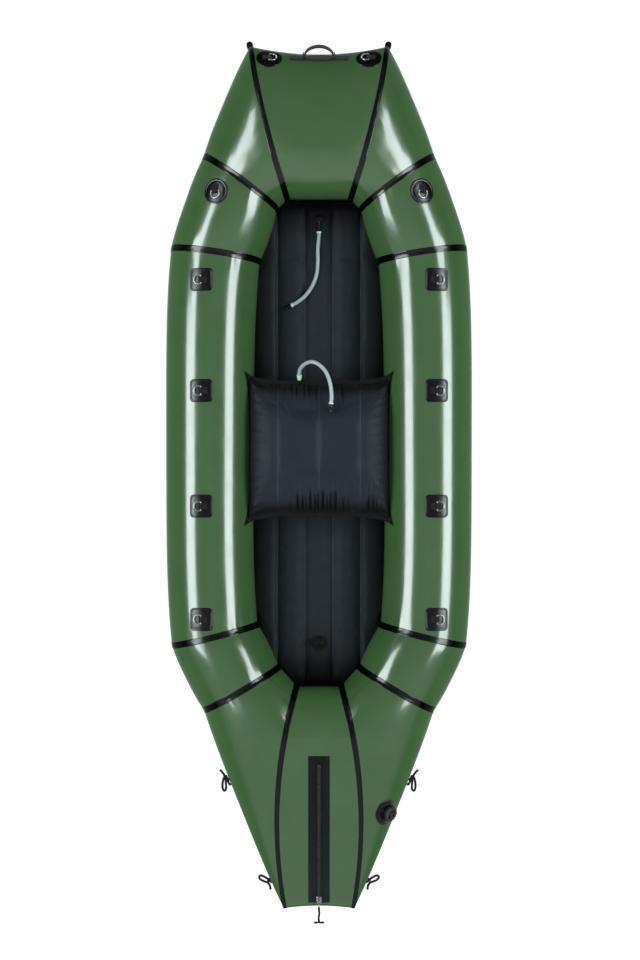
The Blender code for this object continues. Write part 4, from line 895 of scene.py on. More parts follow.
HOSE = 0.013
HOSE_RING = 0.0062
HOSE_GAP = 0.0006
FLOOR_HOSE_ROUTE = (
    (0, 0.8252, 0.0764), (0, 0.8122, 0.0754), (-0.004, 0.7662, 0.0706), (-0.004, 0.7232, 0.0678),
    (-0.008, 0.6822, 0.0678), (-0.020, 0.6472, 0.0678), (-0.040, 0.6162, 0.0678),
    (-0.066, 0.5922, 0.0678), (-0.095, 0.5752, 0.0678),
)
SEAT_HOSE_ROUTE = (
    (-0.0654, 0.3282, 0.2245), (-0.0654, 0.3374, 0.2322), (-0.0624, 0.3502, 0.2445),
    (-0.0514, 0.3632, 0.2625), (-0.0354, 0.3712, 0.2795), (-0.0184, 0.3712, 0.2925),
    (0.0006, 0.3622, 0.3005), (0.0186, 0.3442, 0.3025), (0.0326, 0.3162, 0.3005),
    (0.0396, 0.2842, 0.2985), (0.0416, 0.2562, 0.2985), (0.0396, 0.2322, 0.2985),
)


def frame_along(ahead, place):
    """Frame whose Z runs along a direction."""
    made = Vector(ahead).to_track_quat("Z", "Y").to_matrix().to_4x4()
    made.translation = Vector(place)
    return made


def sleeve(name, finish, place, radius, length, body=HULL):
    """A short moulded ring round a hose, softly rounded at both rims."""
    corners = [(CORE, 0), (radius, 0), (radius, length), (CORE, length)]
    data = plain_turned(name, corners, length * 0.3, 40)
    data.transform(place)
    return link_object(name, data, finish, body=body)


def add_hose(name, route):
    """A filling tube from its barb to its mouthpiece, with the rings over both ends of it."""
    points = smooth_way(route, 30)
    out = Vector(points[1] - points[0]).normalized()
    back = Vector(points[-1] - points[-2]).normalized()
    near = sleeve(f"{name}_start_ring", GLOW, frame_along(out, Vector(points[0]) - out * 0.001),
                  HOSE / 2 + 0.0018, HOSE_RING)
    far = sleeve(f"{name}_end_ring", TUBE_END, frame_along(back, Vector(points[-1]) - back * HOSE_RING),
                 HOSE / 2 + 0.0014, 0.0060)
    tube = link_object(name, cord_curve(name, points, HOSE), CLEAR_TUBE)
    return points


FLOOR_HOSE_POINTS = add_hose("floor_tube", FLOOR_HOSE_ROUTE)
SEAT_HOSE_POINTS = add_hose("seat_tube", SEAT_HOSE_ROUTE)

# Tie loops: where each leaves the hull, and its route out from the hull, towards the bow, up
TIE_CORD = 0.0078
UPPER_TIE_START = (0.2932, -1.0325, 0.1914)
LOWER_TIE_START = (0.1542, -1.3589, 0.1914)
UPPER_TIE_ROUTE = (
    (0, 0, 0), (0.005, 0, 0), (0.011, 0.011, -0.001), (0.017, 0.027, -0.004), (0.024, 0.022, -0.007),
    (0.029, 0.003, -0.012), (0.029, -0.015, -0.016), (0.024, -0.024, -0.018), (0.018, -0.018, -0.017),
    (0.018, 0, -0.014), (0.020, 0.018, -0.012), (0.026, 0.033, -0.013), (0.038, 0.046, -0.018),
)
LOWER_TIE_ROUTE = (
    (0, 0, 0), (0.005, 0, 0), (0.014, 0.008, -0.003), (0.028, 0.016, -0.008), (0.040, 0.020, -0.012),
    (0.046, 0.014, -0.014), (0.041, 0.006, -0.013), (0.028, 0, -0.012), (0.016, -0.005, -0.011),
    (0.010, -0.014, -0.012), (0.008, -0.027, -0.016),
)


def knot_mesh(name, middle, ahead):
    """A pulled-tight overhand knot of the same cord round the two strands at its middle."""
    way = []
    for step in range(73):
        angle = 2 * math.pi * step / 72
        reach = 0.0036 + 0.0012 * math.cos(3 * angle)
        way.append((reach * math.cos(2 * angle), reach * math.sin(2 * angle), 0.0032 * math.sin(3 * angle)))
    rows = tube_rows(way[:-1], 0.0026, 12, closed=True)
    data = loop_mesh(name, rows, closed=True)
    data.transform(frame_along(ahead, middle))
    return data


def add_tie(name, side, start, route):
    """A tie loop: its cord, and the knot a little way out from the hull."""
    way = [(side * (start[0] + x), start[1] + y, start[2] + z) for x, y, z in route]
    points = smooth_way(way, 40)
    before, after = points[5:7]
    tied = knot_mesh(f"{name}_knot", before, after - before)
    knot = link_object(f"{name}_knot", tied, CORD)
    cord = link_object(name, cord_curve(name, points, TIE_CORD), CORD)


for side, word in ((-1, "left"), (1, "right")):
    add_tie(f"tie_upper_{word}", side, UPPER_TIE_START, UPPER_TIE_ROUTE)
    add_tie(f"tie_lower_{word}", side, LOWER_TIE_START, LOWER_TIE_ROUTE)


# ---- hull ------------------------------------------------------------------------------------------

def seam_shares(length, fine=0.006, coarse=0.030):
    """Places along a panel: close together near its seams, where it puckers, and further apart between."""
    near = [0, 0.35, 0.75, 1.2, 1.8, 2.6, 3.6, 5.0, 7.0]
    edge = [fine * step / length for step in near if fine * step / length < 0.45]
    steps = max(int((1 - 2 * edge[-1]) * length / coarse), 4)
    middle = list(np.linspace(edge[-1], 1 - edge[-1], steps + 1)[1:-1])
    return edge + middle + [1 - share for share in reversed(edge)]


def add_hull_panel(panel):
    """One cut panel: cloth with its thickness, blown tight between its seams and puckered along them."""
    name = PANEL_NAMES[panel.number]
    shares = seam_shares(float(np.max(panel.length)))
    rows = [panel.cloth(u, 0) for u in shares]
    rows += [panel.cloth(u, -SKIN * 0.5) for u in reversed(shares)]
    link_object(name, loop_mesh(name, rows, closed=True), HULL_CLOTH, smooth_angle=60)


TAPE_LIFT = 0.0009
TAPE_UNDER = 0.0001

# The tape's half section from its edge to its middle: share of its half width, and height over the skin
TAPE_SECTION = ((1, TAPE_UNDER), (1, 0.0004), (0.93, TAPE_LIFT), (0.7, TAPE_LIFT), (0.45, TAPE_LIFT),
                (0.2, TAPE_LIFT))
TAIL_SECTION = ((0.02, -0.0022), (0.93, -0.0022), (1, -0.0014), (1, 0.0014), (0.93, 0.0022), (0.02, 0.0022))
TAIL_LENGTH = 1.45
TAIL_REACH = 0.002


def add_seam_tape(first, second):
    """The tape over a seam: flat in its middle, thinned to its welded edges, lying in the puckers."""
    half = TAPE_WIDTH / 2
    rows = [first.cloth(1 - half * share / first.length, lift) for share, lift in TAPE_SECTION]
    rows.append(seam_line(first, second, TAPE_LIFT))
    rows += [second.cloth(half * share / second.length, lift) for share, lift in reversed(TAPE_SECTION)]
    rows.append(seam_line(first, second, TAPE_UNDER))
    name = f"seam_tape_{first.number + 1}"
    link_object(name, loop_mesh(name, rows, closed=True), TAPE, smooth_angle=60)


def add_tape_tail(first, second):
    """Where a bow seam turns under at the corner, its tape is folded on itself into a short rounded tail."""
    line = [Vector(p) for p in seam_line(first, second, 0)]
    tip = max(line, key=lambda p: p.y)
    ahead = tip - min(line, key=lambda p: p.y)
    ahead.z = 0
    side = TAPE_WIDTH / 2
    outline = [(squared(math.cos(turn), 0.7) * side * TAIL_LENGTH + TAIL_REACH,
                squared(math.sin(turn), 0.8) * side)
               for turn in (2 * math.pi * step / 48 for step in range(48))]
    rows = [[(share * a, share * b, rise) for a, b in outline] for share, rise in TAIL_SECTION]
    data = loop_mesh("tape_tail", rows, closed=False)
    data.transform(Matrix.Translation(tip) @ Matrix.Rotation(math.atan2(ahead.y, ahead.x), 4, "Z"))
    word = "right" if tip.x > 0 else "left"
    link_object(f"tape_tail_{word}", data, TAPE)


for panel in PANELS:
    add_hull_panel(panel)
    add_seam_tape(panel, PANELS[(panel.number + 1) % len(PANELS)])
add_tape_tail(PANELS[-1], PANELS[0])
add_tape_tail(PANELS[-2], PANELS[-1])


# ---- floor -----------------------------------------------------------------------------------------

FLOOR_CHAMBERS = 5
FLOOR_CROWN = 0.056
FLOOR_SEAM = 0.036
FLOOR_RIM = 0.012
FLOOR_TUCK = 0.014
FLOOR_ROLL = 0.040
FLOOR_CREASE = 0.0045
FLOOR_SLACK = 0.004
FLOOR_BLOW = 0.004
FLOOR_VALVE_ROOM = 0.054
FLOOR_FITTING_ROOM = 0.028
FLOOR_HALF = FLOOR_CHAMBER * FLOOR_CHAMBERS / 2


def keel_line():
    """Keel points of the starboard ribs from stern to bow: y, half-width and height over the tubes' keel."""
    line = []
    for rib in hull_ribs(1)[::-1]:
        place = rib.inner + rib.crest * (rib.outer - rib.inner)
        line.append((place[1], place[0], rib.keel - KEEL))
    return np.array(line)


KEEL_LINE = keel_line()


def sheet_top(y):
    return SHEET + float(np.interp(y, KEEL_LINE[:, 0], KEEL_LINE[:, 2]))


def floor_ends(x):
    """Fore and aft ends of the inflatable floor at a place across it, tucked under the tubes."""
    ribs = hull_ribs(1)
    across = [abs(rib.inner[0]) + FLOOR_TUCK for rib in ribs]
    along = [rib.inner[1] + math.copysign(FLOOR_TUCK, rib.inner[1]) for rib in ribs]
    fore = float(np.interp(abs(x), across[:3], along[:3]))
    aft = float(np.interp(abs(x), across[:2:-1], along[:2:-1]))
    past = max(abs(x) - across[2], 0) / (FLOOR_HALF - across[2] + FLOOR_TUCK)
    return fore - past * FLOOR_CHAMBER, aft + past * FLOOR_CHAMBER


def floor_height(x, y):
    """Thickness of the floor: crowned chambers that roll down at the two ends."""
    place = (x + FLOOR_HALF) / FLOOR_CHAMBER
    across = 2 * (place - math.floor(place)) - 1
    if abs(x) >= FLOOR_HALF:
        return FLOOR_RIM
    crease = math.exp(-(((1 - abs(across)) * FLOOR_CHAMBER / 2 / FLOOR_CREASE) ** 2))
    round_share = math.sqrt(max(1 - across**2, 0))
    crown = FLOOR_SEAM + (FLOOR_CROWN - FLOOR_SEAM) * (0.70 + 0.30 * round_share - 0.22 * crease)
    fore, aft = floor_ends(x)
    inside = min(fore - y, y - aft) / FLOOR_ROLL
    roll = math.sqrt(max(1 - max(1 - inside, 0) ** 2, 0))
    return FLOOR_RIM + (crown - FLOOR_RIM) * roll


def floor_top(x, y):
    return sheet_top(y) + CLEAR + floor_height(x, y)


CLOTH_PRESSURE = 4.0
CLOTH_BENDING = 0.2
CLOTH_QUALITY = 6
CLOTH_FRAMES = 20


def blow_up(piece, held, swell, cap, clearances):
    """Cloth pressure from inside with some points held: the cloth is swell larger than its form, so it
    wrinkles where it is held back. No point moves further than cap, and none rises into what lies on it."""
    data = piece.data
    count = len(data.vertices)
    rest = np.empty(count * 3)
    data.vertices.foreach_get("co", rest)
    rest = rest.reshape(-1, 3)
    moved = rest.copy()
    piece.vertex_groups.new(name="held").add(held, 1.0, "REPLACE")
    cloth = piece.modifiers.new("cloth", "CLOTH")
    cloth.settings.use_pressure = True
    cloth.settings.uniform_pressure_force = CLOTH_PRESSURE
    cloth.settings.vertex_group_mass = "held"
    cloth.settings.shrink_min = -swell
    cloth.settings.quality = CLOTH_QUALITY
    cloth.settings.bending_stiffness = CLOTH_BENDING
    cloth.settings.effector_weights.gravity = 0
    for number in range(1, CLOTH_FRAMES + 1):
        bpy.context.scene.frame_set(number)
    graph = bpy.context.evaluated_depsgraph_get()
    blown = np.empty(count * 3)
    piece.evaluated_get(graph).data.vertices.foreach_get("co", blown)
    step = blown.reshape(-1, 3) - rest
    size = np.linalg.norm(step, axis=1)[:, None]
    moved = rest + step * np.minimum(1, cap / np.maximum(size, 1e-9))
    piece.modifiers.remove(cloth)
    bpy.context.scene.frame_set(1)
    for x, y, ceiling, radius in clearances:
        away = np.hypot(moved[:, 0] - x, moved[:, 1] - y)
        limit = ceiling + np.clip(away - radius * 0.6, 0, None) * 0.9
        under = (away < radius * 2) & (moved[:, 2] > limit)
        moved[under, 2] = limit[under]
    data.vertices.foreach_set("co", moved.ravel())
    data.update()


def hose_clearances(points):
    """Ceilings under a hose: the cloth keeps a gap below its underside."""
    return [(p[0], p[1], p[2] - HOSE / 2 - HOSE_GAP, 0.012) for p in points]


def add_floor_sheet():
    """The bottom skin, stretched from keel line to keel line."""
    ys = np.linspace(KEEL_LINE[0, 0], KEEL_LINE[-1, 0], 121)
    half = np.interp(ys, KEEL_LINE[:, 0], KEEL_LINE[:, 1])
    across = np.linspace(-1, 1, 41)
    top = [[(w * a, y, sheet_top(y)) for a in across] for y, w in zip(ys, half)]
    bottom = [[(w * a, y, sheet_top(y) - SHEET) for a in across] for y, w in zip(ys, half)]
    made = link_object("floor_sheet", plate_mesh("floor_sheet", top, bottom), FLOOR_CLOTH)


def add_floor():
    """The inflatable floor: five welded chambers, wrinkled beside their seams and at their rolled ends. Its
    columns stand closer together at the seams, and its rows where the ends roll down."""
    steps = 14
    turns = [math.sin(math.pi * (i / steps - 0.5)) / 2 + 0.5 for i in range(steps)]
    columns = [FLOOR_CHAMBER * (n + 0.25 * t + 0.75 * i / steps) - FLOOR_HALF
               for n in range(FLOOR_CHAMBERS) for i, t in enumerate(turns)] + [FLOOR_HALF]
    rolled = [FLOOR_ROLL * (1 - math.cos(math.pi / 2 * i / 7)) for i in range(8)]
    top = []
    bottom = []
    for x in columns:
        fore, aft = floor_ends(x)
        middle = np.linspace(aft + FLOOR_ROLL, fore - FLOOR_ROLL, 250)
        ys = [aft + r for r in rolled[:-1]] + list(middle) + [fore - r for r in reversed(rolled[:-1])]
        top.append([(x, y, floor_top(x, y)) for y in ys])
        bottom.append([(x, y, sheet_top(y) + CLEAR) for y in ys])
    rows = len(top)
    count = len(top[0])
    made = link_object("inflatable_floor", plate_mesh("inflatable_floor", top, bottom, merge=False),
                       FLOOR_CLOTH, smooth_angle=75)
    seams = [i for i in range(rows) if i % steps == 0]
    held = [i * count + j for i in seams for j in range(count)]
    held += [i * count + j for i in range(rows) for j in (0, 1, 2, count - 3, count - 2, count - 1)]
    held += list(range(rows * count, 2 * rows * count))
    clearances = hose_clearances(FLOOR_HOSE_POINTS)
    for place, radius in ((FLOOR_VALVE, FLOOR_VALVE_ROOM), (FLOOR_FITTING, FLOOR_FITTING_ROOM)):
        clearances.append((*place.translation.xy, place.translation.z - HOSE_GAP, radius))
    blow_up(made, held, FLOOR_SLACK, FLOOR_BLOW, clearances)


# Frames of the fittings on the floor and the seat, as the part's source seats them on their own facets
FLOOR_VALVE = node_frame((0, -0.56801, 0.059768), (0, 0.998494, -0.054869), (-1, 0, 0),
                         (0, 0.054869, 0.998494))
FLOOR_FITTING = node_frame((0, 0.870001, 0.071421), (0, -0.996899, -0.078686), (1, 0, 0),
                           (0, -0.078686, 0.996899))
SEAT_FITTING = node_frame((-0.06538, 0.318048, 0.215928), (-1, 0, 0), (0, -0.642788, 0.766044),
                          (0, 0.766044, 0.642788))

add_floor_sheet()
add_floor()


# ---- seat ------------------------------------------------------------------------------------------

SEAT_MIDDLE_Y = 0.088
SEAT_HALF_WIDTH = 0.2335
SEAT_EAR = 0.014
SEAT_HALF_LENGTH = 0.226
SEAT_EAR_LENGTH = 0.034
SEAT_THICKNESS = 0.156
SEAT_FLANGE = 0.014
SEAT_SIDE_FLANGE = 0.005
SEAT_FLANGE_THICK = 0.003
SEAT_CHAMBERS = 4
SEAT_SEAM_SHARE = 0.90
SEAT_PUCKER = 0.0080
SEAT_SLACK = 0.0
SEAT_BLOW = 0.006
MOUTHPIECE_ROOM = 0.0090


def hull_height(x, y):
    place, _ = below(x, y)
    return place.z if place else 0


SEAT_REST = hull_height(SEAT_HALF_WIDTH, SEAT_MIDDLE_Y)


def seat_place(a, b):
    """Height of the welded edge, and plan place of the seat's net: drawn-in sides between longer corners,
    and a flange that is scalloped between the inner seams."""
    x = a * (SEAT_HALF_WIDTH + SEAT_EAR * abs(a * b) ** 6)
    chamber = (a + 1) / 2 * SEAT_CHAMBERS
    scallop = -0.0075 * abs(math.sin(math.pi * chamber)) * max(abs(b) - 0.93, 0) / 0.07
    y = b * (SEAT_HALF_LENGTH + SEAT_EAR_LENGTH * abs(a) ** 8 - 0.002 - scallop * (1 - abs(a) ** 4))
    y += SEAT_MIDDLE_Y
    weld = max(SEAT_REST, hull_height(x, y)) + SEAT_FLANGE_THICK + CLEAR
    return x, y, weld


def seat_crown(a, b):
    """Half thickness of the cushion over its net: crowned chambers inside a flat flange."""
    across = abs(a) * SEAT_HALF_WIDTH / (SEAT_HALF_WIDTH - SEAT_SIDE_FLANGE)
    along = abs(b) * SEAT_HALF_LENGTH / (SEAT_HALF_LENGTH - SEAT_FLANGE)
    if across >= 1 or along >= 1:
        return SEAT_FLANGE_THICK / 2
    out = abs(a) * SEAT_HALF_WIDTH
    if out < SEAT_SEAM:
        ridge = 2 * out / SEAT_SEAM - 1
    else:
        ridge = 2 * (out - SEAT_SEAM) / (SEAT_HALF_WIDTH - SEAT_SEAM) - 1
    edge = math.sqrt((1 - across**6) * (1 - along**3))
    crease = math.exp(-(((1 - abs(ridge)) / 0.09) ** 2))
    channel = 1 - (1 - SEAT_SEAM_SHARE) * (0.55 * (1 - math.sqrt(max(1 - ridge**2, 0))) + 0.45 * crease)
    return SEAT_FLANGE_THICK / 2 + (SEAT_THICKNESS - SEAT_FLANGE_THICK) / 2 * edge * channel


def gathered(place, middle, half_width, power=2):
    """How much cloth is gathered at a place along an edge: 1 at the middle of the gather, 0 away from it."""
    return math.exp(-(((place - middle) / half_width) ** power))


def fold_fade(inside, reach):
    """Depth of a fold over the distance inside the flange: 0 at the flange, 1 at its reach, then less."""
    return inside / reach * math.exp(1 - inside / reach)


def ripples(place, length, turn, finer, second_length, second_turn):
    """Uneven ripples along an edge: one wave of a length, and a second one, finer times as deep."""
    return (math.sin(2 * math.pi * place / length + turn)
            + finer * math.sin(2 * math.pi * place / second_length + second_turn))


def seat_pucker(a, b):
    """Folds that the weld gathers into the cloth: square to the edge, deepest just inside the flange. They
    bunch at the tube's fitting and beside it in front, and in the middle and at one corner behind."""
    x = a * SEAT_HALF_WIDTH
    y = b * SEAT_HALF_LENGTH
    inside_y = SEAT_HALF_LENGTH - SEAT_FLANGE - abs(y)
    inside_x = SEAT_HALF_WIDTH - SEAT_SIDE_FLANGE - abs(x)
    depth = 0.0
    if inside_y > 0:
        wave = ripples(x, 0.0137, 1.4 * b, 0.6, 0.0213, 0.8)
        if b > 0:
            bunch = gathered(x, -0.056, 0.062) + 0.7 * gathered(x, 0.072, 0.024)
            depth += 0.62 * fold_fade(inside_y, 0.014) * (0.22 + bunch) * wave
        else:
            bunch = gathered(x, 0, 0.085, 4) + 0.8 * gathered(x, 0.18, 0.022)
            depth += 0.9 * fold_fade(inside_y, 0.020) * (0.22 + bunch) * wave
    if inside_x > 0:
        depth += 0.35 * fold_fade(inside_x, 0.010) * ripples(y, 0.031, a, 0.5, 0.019, 2 * a)
    return SEAT_PUCKER * depth


def add_seat():
    """The seat cushion: four welded chambers, blown up inside a held flange, and puckered all round."""
    inner_a = 1 - SEAT_SIDE_FLANGE / SEAT_HALF_WIDTH
    inner_b = 1 - SEAT_FLANGE / SEAT_HALF_LENGTH
    columns = [-1, -(1 + inner_a) / 2] + list(np.linspace(-inner_a, inner_a, 121)) + [(1 + inner_a) / 2, 1]
    lines = [-1, -(1 + inner_b) / 2] + list(np.linspace(-inner_b, inner_b, 99)) + [(1 + inner_b) / 2, 1]
    top = []
    bottom = []
    for a in columns:
        nets = [(seat_place(a, b), seat_crown(a, b)) for b in lines]
        top.append([(x, y, weld + half + seat_pucker(a, b)) for b, ((x, y, weld), half) in zip(lines, nets)])
        bottom.append([(x, y, weld - half) for (x, y, weld), half in nets])
    rows = len(columns)
    count = len(lines)
    made = link_object("seat_cushion", plate_mesh("seat_cushion", top, bottom, merge=False), SEAT_CLOTH,
                       smooth_angle=75)
    held = list(range(rows * count, 2 * rows * count))
    held += [i * count + j for i in range(rows) for j in range(count)
             if min(i, rows - 1 - i) <= 2 or min(j, count - 1 - j) <= 2]
    clearances = hose_clearances(SEAT_HOSE_POINTS)
    end = SEAT_HOSE_POINTS[-1]
    clearances += [(end[0], end[1] - step, end[2] - MOUTHPIECE_ROOM, 0.014)
                   for step in (0, 0.010, 0.020, 0.028)]
    blow_up(made, held, SEAT_SLACK, SEAT_BLOW, clearances)


add_seat()


# ---- ring points -----------------------------------------------------------------------------------

RING_WIRE = 0.0045
RING_WIDTH = 0.034
RING_LENGTH = 0.028
WEBBING_THICK = 0.0016
WEBBING_EDGE = 0.0006
STITCH_END = 0.0022
STITCH_SIDE = 0.0024
STITCH_LIFT = WEBBING_THICK + 0.0002
KEEPER_WIDTH = 0.021
KEEPER_TAB = 0.017
KEEPER_FOOT = 0.004
BAR_HEIGHT = PATCH_TOP + RING_WIRE / 2 + RUNNING_CLEAR


def spread_out(outline, count):
    """Even points round a closed outline."""
    way = np.array(outline + outline[:1])
    run = np.concatenate([[0], np.cumsum(np.linalg.norm(np.diff(way, axis=0), axis=1))])
    even = np.linspace(0, run[-1], count, endpoint=False)
    return [(float(np.interp(e, run, way[:, 0])), float(np.interp(e, run, way[:, 1]))) for e in even]


def rounded_oblong(length, width, corner, steps, count):
    """Even points round an oblong with round corners."""
    outline = []
    for quarter in range(4):
        cx = (length / 2 - corner) * (1 if quarter in (0, 3) else -1)
        cy = (width / 2 - corner) * (1 if quarter in (0, 1) else -1)
        for step in range(steps + 1):
            angle = math.pi / 2 * (quarter + step / steps)
            outline.append((cx + corner * math.cos(angle), cy + corner * math.sin(angle)))
    return spread_out(outline, count)


def oval(length, width, count=96):
    turns = [2 * math.pi * step / count for step in range(count)]
    return [(length / 2 * math.cos(turn), width / 2 * math.sin(turn)) for turn in turns]


def arch(radius, start, rise, count):
    """Points of a half circle from +X over the top to -X, its foot at height start, flattened by rise."""
    turns = [math.pi * step / count for step in range(count + 1)]
    return [(radius * math.cos(turn), start + rise * radius * math.sin(turn)) for turn in turns]


# A pressed patch from its rim inwards: depth from the rim, and share of its thickness there
PATCH_RIM = ((0, 0.15), (0.0005, 0.6), (0.0012, 1.0))
PATCH_BORDER = (0.0030, 0.0052)
PATCH_BORDER_RISE = 0.0004
PATCH_FIELD = ((0.0062, 1.0), (0.0072, 0.78), (0.0084, 0.78), (0.0096, 0.92), (0.018, 0.92), (0.028, 0.92))


def patch_mesh(name, place, outline):
    """A welded patch draped on the hull: thin bevelled edge, pressed groove inside a raised border."""
    reach = max(math.hypot(a, b) for a, b in outline)
    inset = list(PATCH_RIM) + [(depth, 1 + PATCH_BORDER_RISE / PATCH) for depth in PATCH_BORDER]
    inset += list(PATCH_FIELD) + [(0.96 * reach, 0.92)]
    steps = [(share, PATCH_GAP) for share in (0.04, 0.5, 1)]
    steps += [(1 - depth / reach, PATCH_GAP + PATCH * share) for depth, share in inset]
    return draped_plate(name, place, outline, steps)


def box_mesh(name, size, bevel):
    """A block with rounded edges, about its own middle."""
    data = bpy.data.meshes.new(name)
    work = bmesh.new()
    bmesh.ops.create_cube(work, size=1)
    for corner in work.verts:
        corner.co = Vector([c * s for c, s in zip(corner.co, size)])
    bmesh.ops.bevel(work, geom=work.edges[:], offset=bevel, segments=2, affect="EDGES", profile=0.6)
    work.to_mesh(data)
    work.free()
    return data


def stitch_rows(lines, lift, pitch=0.0022, thread=0.00045):
    """Lock stitches along lines of (a, b) points: short threads with gaps, on a plane at lift."""
    parts = []
    for start, end in lines:
        way = Vector(end) - Vector(start)
        count = max(int(way.length / pitch), 1)
        for i in range(count):
            middle = Vector(start) + way * ((i + 0.5) / count)
            stitch = box_mesh("stitch", (pitch * 0.72, thread * 1.6, thread * 1.3), thread * 0.4)
            turn = Matrix.Rotation(math.atan2(way.y, way.x), 4, "Z")
            parts.append((stitch, Matrix.Translation((middle.x, middle.y, lift)) @ turn))
    return parts


def keeper_mesh(name):
    """Webbing folded over the ring's bar, its tab stitched down behind in a box with a cross."""
    inner = RING_WIRE / 2 + RUNNING_CLEAR
    outer = inner + WEBBING_THICK
    end = -outer - KEEPER_TAB
    way = [(outer + KEEPER_FOOT, -SINK), (outer + KEEPER_FOOT, WEBBING_THICK * 0.8),
           (outer + WEBBING_EDGE, WEBBING_THICK)]
    way += arch(outer, inner, 1, 12)
    way += [(-outer - WEBBING_EDGE, WEBBING_THICK), (end + WEBBING_EDGE, WEBBING_THICK),
            (end, WEBBING_THICK * 0.6), (end, -SINK), (-inner, -SINK)]
    way += reversed(arch(inner, inner, 1, 12))
    way.append((inner, -SINK))
    half = KEEPER_WIDTH / 2
    rows = [[(a, b, PATCH_TOP + z - dip) for a, z in way] for b, dip in
            ((-half, 0.0003), (-half * 0.9, 0), (0, -0.0001), (half * 0.9, 0), (half, 0.0003))]
    data = loop_mesh(name, rows, closed=False)
    near = -outer - STITCH_END
    far = end + STITCH_END
    side = half - STITCH_SIDE
    corners = [(near, -side), (near, side), (far, side), (far, -side)]
    crossed = [(corners[0], corners[2]), (corners[1], corners[3])]
    stitches = stitch_rows(list(zip(corners, corners[1:] + corners[:1])) + crossed, PATCH_TOP + STITCH_LIFT)
    return join_meshes(name, [(data, Matrix())] + stitches)


def ring_mesh(name):
    """A D-ring of bent wire: straight bar, short arms and a round bow, welded in the bar's middle."""
    half = (RING_WIDTH - RING_WIRE) / 2
    straight = RING_LENGTH - RING_WIRE - half
    corner = 0.0016
    way = [(0, -half + corner * 2), (0, -half / 3), (0, half / 3), (0, half - corner * 2),
           (corner * 0.4, half - corner * 0.5), (corner * 1.6, half)]
    way += [(straight + half * math.sin(angle), half * math.cos(angle))
            for angle in (math.pi * step / 16 for step in range(17))]
    way += [(corner * 1.6, -half), (corner * 0.4, -half + corner * 0.5)]
    points = smooth_way([(a, b, 0) for a, b in way], 96, closed=True)
    radii = [RING_WIRE / 2 + (0.0003 if abs(p[0]) < 0.001 and abs(p[1]) < 0.0014 else 0) for p in points]
    return loop_mesh(name, tube_rows(points, radii, 16, closed=True), closed=True)


def add_ring_point(name, x, y, heading, outline):
    """A patch with its keeper, and the D-ring that swings in it."""
    place = seat_on(x, y, heading)
    link_object(f"{name}_patch", patch_mesh(f"{name}_patch", place, outline), PATCH_FILM)
    keeper = keeper_mesh(f"{name}_keeper")
    keeper.transform(place)
    link_object(f"{name}_keeper", keeper, WEBBING, smooth_angle=50)
    ring = ring_mesh(f"{name}_ring")
    ring.transform(place @ Matrix.Translation((0, 0, BAR_HEIGHT)))
    link_object(f"{name}_ring", ring, STEEL, body=f"{name}_ring")


SQUARE = rounded_oblong(0.076, 0.076, 0.013, 12, 96)
ROUND = oval(0.084, 0.084)
for side, word in ((-1, "left"), (1, "right")):
    for number, y in enumerate((0.452 * BOW_REACH, 0.195 * BOW_REACH,
                                -0.0715 * STERN_REACH, -0.331 * STERN_REACH)):
        add_ring_point(f"side_{word}_{number + 1}", side * 0.764 * HALF_BEAM, y, (side, 0, 0), SQUARE)
    add_ring_point(f"shoulder_{word}", side * 0.668 * HALF_BEAM, 0.655 * BOW_REACH, (0, -1, 0), ROUND)
    add_ring_point(f"bow_{word}", side * 0.322 * HALF_BEAM, 0.962 * BOW_REACH, (-side, 0, 0), ROUND)


# ---- carry handle ----------------------------------------------------------------------------------

HANDLE_PATCH_LENGTH = 0.196
HANDLE_PATCH_WIDTH = 0.030
HANDLE_PATCH_CORNER = 0.008
HANDLE_PAD_LENGTH = 0.090
HANDLE_PAD_WIDTH = 0.038
HANDLE_SPAN = 0.096
HANDLE_HEIGHT = 0.030
HANDLE_STRAP_WIDTH = 0.024
HANDLE_STRAP = 0.004
HANDLE_PIVOT = HANDLE_STRAP_WIDTH / 2 + PATCH_TOP + 2 * RUNNING_CLEAR
ANCHOR_FLATNESS = 0.4
BOX_NEAR = 0.004
BOX_FAR = 0.034
BOX_HALF = 0.010
ARCH_SHARES = ((0, 0), (0.01, 0.16), (0.06, 0.40), (0.16, 0.68), (0.31, 0.91), (0.5, 1), (0.69, 0.91),
               (0.84, 0.68), (0.94, 0.40), (0.99, 0.16), (1, 0))

# Steps of the patch (share of its outline, share of its thickness) and of the pad (share, height over it)
HANDLE_PATCH_STEPS = ((0.02, 0), (0.5, 0), (1, 0), (1, 0.2), (0.993, 0.7), (0.985, 1), (0.8, 1), (0.5, 1),
                      (0.02, 1))
HANDLE_PAD_STEPS = ((0.02, 0.0001), (0.5, 0.0001), (0.8, 0.0001), (1, 0.0001), (1, 0.0005), (0.985, 0.0012),
                    (0.95, 0.0015), (0.93, 0.0010), (0.8, 0.0010), (0.5, 0.0010), (0.02, 0.0010))


def strap_sweep(name, points, ups, width, thick):
    """A flat strap with soft edges, swept along points; ups are its thickness directions."""
    section = [(squared(math.cos(turn), 0.35) * width / 2, squared(math.sin(turn), 0.55) * thick / 2)
               for turn in (2 * math.pi * step / 28 for step in range(28))]
    rows = [[Vector(point) + Vector((0, across, 0)) + Vector(up) * rise for across, rise in section]
            for point, up in zip(points, ups)]
    return loop_mesh(name, rows, closed=False)


